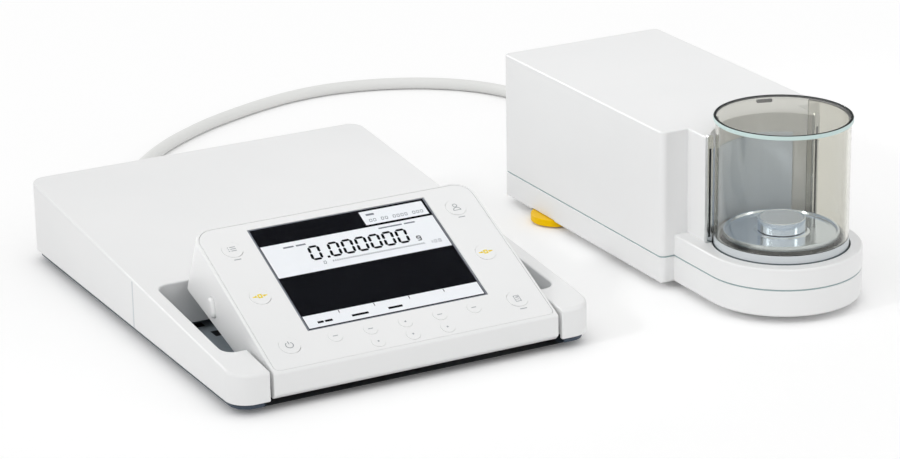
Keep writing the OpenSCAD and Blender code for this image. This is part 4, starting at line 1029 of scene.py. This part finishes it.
# floor and studio light, in metres
studio = {
    "floor": 8.0, "floorLit": 0.88, "floorSeen": 1.0, "floorLift": 0.05,
    "skyStrength": 0.82, "skySeen": 1.0,
    "lamps": [
        {"name": "wideSoftbox", "from": (-0.3, -0.35, 0.88), "strength": 0.3, "spread": 60},
        {"name": "sideSoftbox", "from": (-0.8, -0.5, 0.35), "strength": 0.03, "spread": 40},
    ],
    "stripsAim": (shieldAxis[0], shieldAxis[1], 0.05), "stripsAway": 3,
    "strips": [
        {"name": "leftStrip", "from": (-0.982, 0.187, 0.42), "wide": 0.7, "high": 1.4, "power": 3.5},
        # gives bright edges only
        {"name": "backStrip", "from": (-0.335, 0.833, 0.439), "wide": 0.8, "high": 0.35, "power": 26,
         "shineOnly": True},
        {"name": "rightStrip", "from": (0.656, -0.755, 0.42), "wide": 0.6, "high": 1.4, "power": 5.5},
    ],
    # narrow beam that reaches the module's left wall over the control unit
    "beam": {"name": "narrowSoftbox", "from": (-0.85, -0.08, 0.5), "aim": (0.115, -0.02, 0.06), "away": 2,
             "radius": 0.2, "cone": 10, "blend": 1, "power": 78},
}


# 1 for the rays that the eye follows: straight, mirrored or through glass
def eyeRays(tree):
    rays = addNode(tree, "ShaderNodeLightPath").outputs
    seen = rays["Is Camera Ray"]
    for kind in ("Is Glossy Ray", "Is Transmission Ray"):
        seen = addNode(tree, "ShaderNodeMath", {"operation": "MAXIMUM"}, {0: seen, 1: rays[kind]}).outputs[0]
    return seen


def greyTone(share):
    return (share, share, share, 1)


def makeFloor(spec):
    bpy.ops.object.select_all(action="DESELECT")
    bpy.ops.mesh.primitive_plane_add(size=spec["floor"], location=(0, 0, 0))
    floor = bpy.context.object
    floor.name = "studioFloor"
    material = bpy.data.materials.new("paleFloor")
    material.use_nodes = True
    tree = material.node_tree
    tree.nodes.clear()
    plain = addNode(tree, "ShaderNodeBsdfDiffuse", {"Color": greyTone(spec["floorLit"])})
    bright = addNode(tree, "ShaderNodeBsdfDiffuse", {"Color": greyTone(spec["floorSeen"])})
    lift = addNode(tree, "ShaderNodeEmission", {"Strength": spec["floorLift"]})
    lifted = addNode(tree, "ShaderNodeAddShader", links={0: bright.outputs[0], 1: lift.outputs[0]})
    mixed = addNode(tree, "ShaderNodeMixShader",
                    links={0: eyeRays(tree), 1: plain.outputs[0], 2: lifted.outputs[0]})
    addNode(tree, "ShaderNodeOutputMaterial", links={"Surface": mixed.outputs[0]})
    floor.data.materials.append(material)


def makeSky(spec):
    world = bpy.data.worlds.new("studioSky")
    bpy.context.scene.world = world
    world.use_nodes = True
    tree = world.node_tree
    tree.nodes.clear()
    sky = addNode(tree, "ShaderNodeBackground", {"Color": greyTone(1), "Strength": spec["skyStrength"]})
    white = addNode(tree, "ShaderNodeBackground", {"Color": greyTone(1), "Strength": spec["skySeen"]})
    mixed = addNode(tree, "ShaderNodeMixShader",
                    links={0: eyeRays(tree), 1: sky.outputs[0], 2: white.outputs[0]})
    addNode(tree, "ShaderNodeOutputWorld", links={"Surface": mixed.outputs[0]})


def addLight(spec, kind, power, aim=(0, 0, 0), distance=0):
    data = bpy.data.lights.new(spec["name"], kind)
    data.energy = power
    obj = bpy.data.objects.new(spec["name"], data)
    away = Vector(spec["from"]).normalized()
    obj.location = Vector(aim) + away * distance
    obj.rotation_euler = (-away).to_track_quat("-Z", "Y").to_euler()
    bpy.context.scene.collection.objects.link(obj)
    return obj


def makeLights(spec):
    for lamp in spec["lamps"]:
        sun = addLight(lamp, "SUN", lamp["strength"])
        sun.data.angle = math.radians(lamp["spread"])
    for row in spec["strips"]:
        strip = addLight(row, "AREA", row["power"], spec["stripsAim"], spec["stripsAway"])
        strip.data.shape = "RECTANGLE"
        strip.data.size = row["wide"]
        strip.data.size_y = row["high"]
        strip.visible_camera = False
        strip.visible_diffuse = not row.get("shineOnly")
    row = spec["beam"]
    beam = addLight(row, "SPOT", row["power"], row["aim"], row["away"])
    beam.data.spot_size = math.radians(row["cone"])
    beam.data.spot_blend = row["blend"]
    beam.data.shadow_soft_size = row["radius"]
    beam.visible_camera = False
    beam.visible_glossy = False


makeFloor(studio)
makeSky(studio)
makeLights(studio)
bpy.context.scene.view_settings.view_transform = "Standard"
print("studio set")
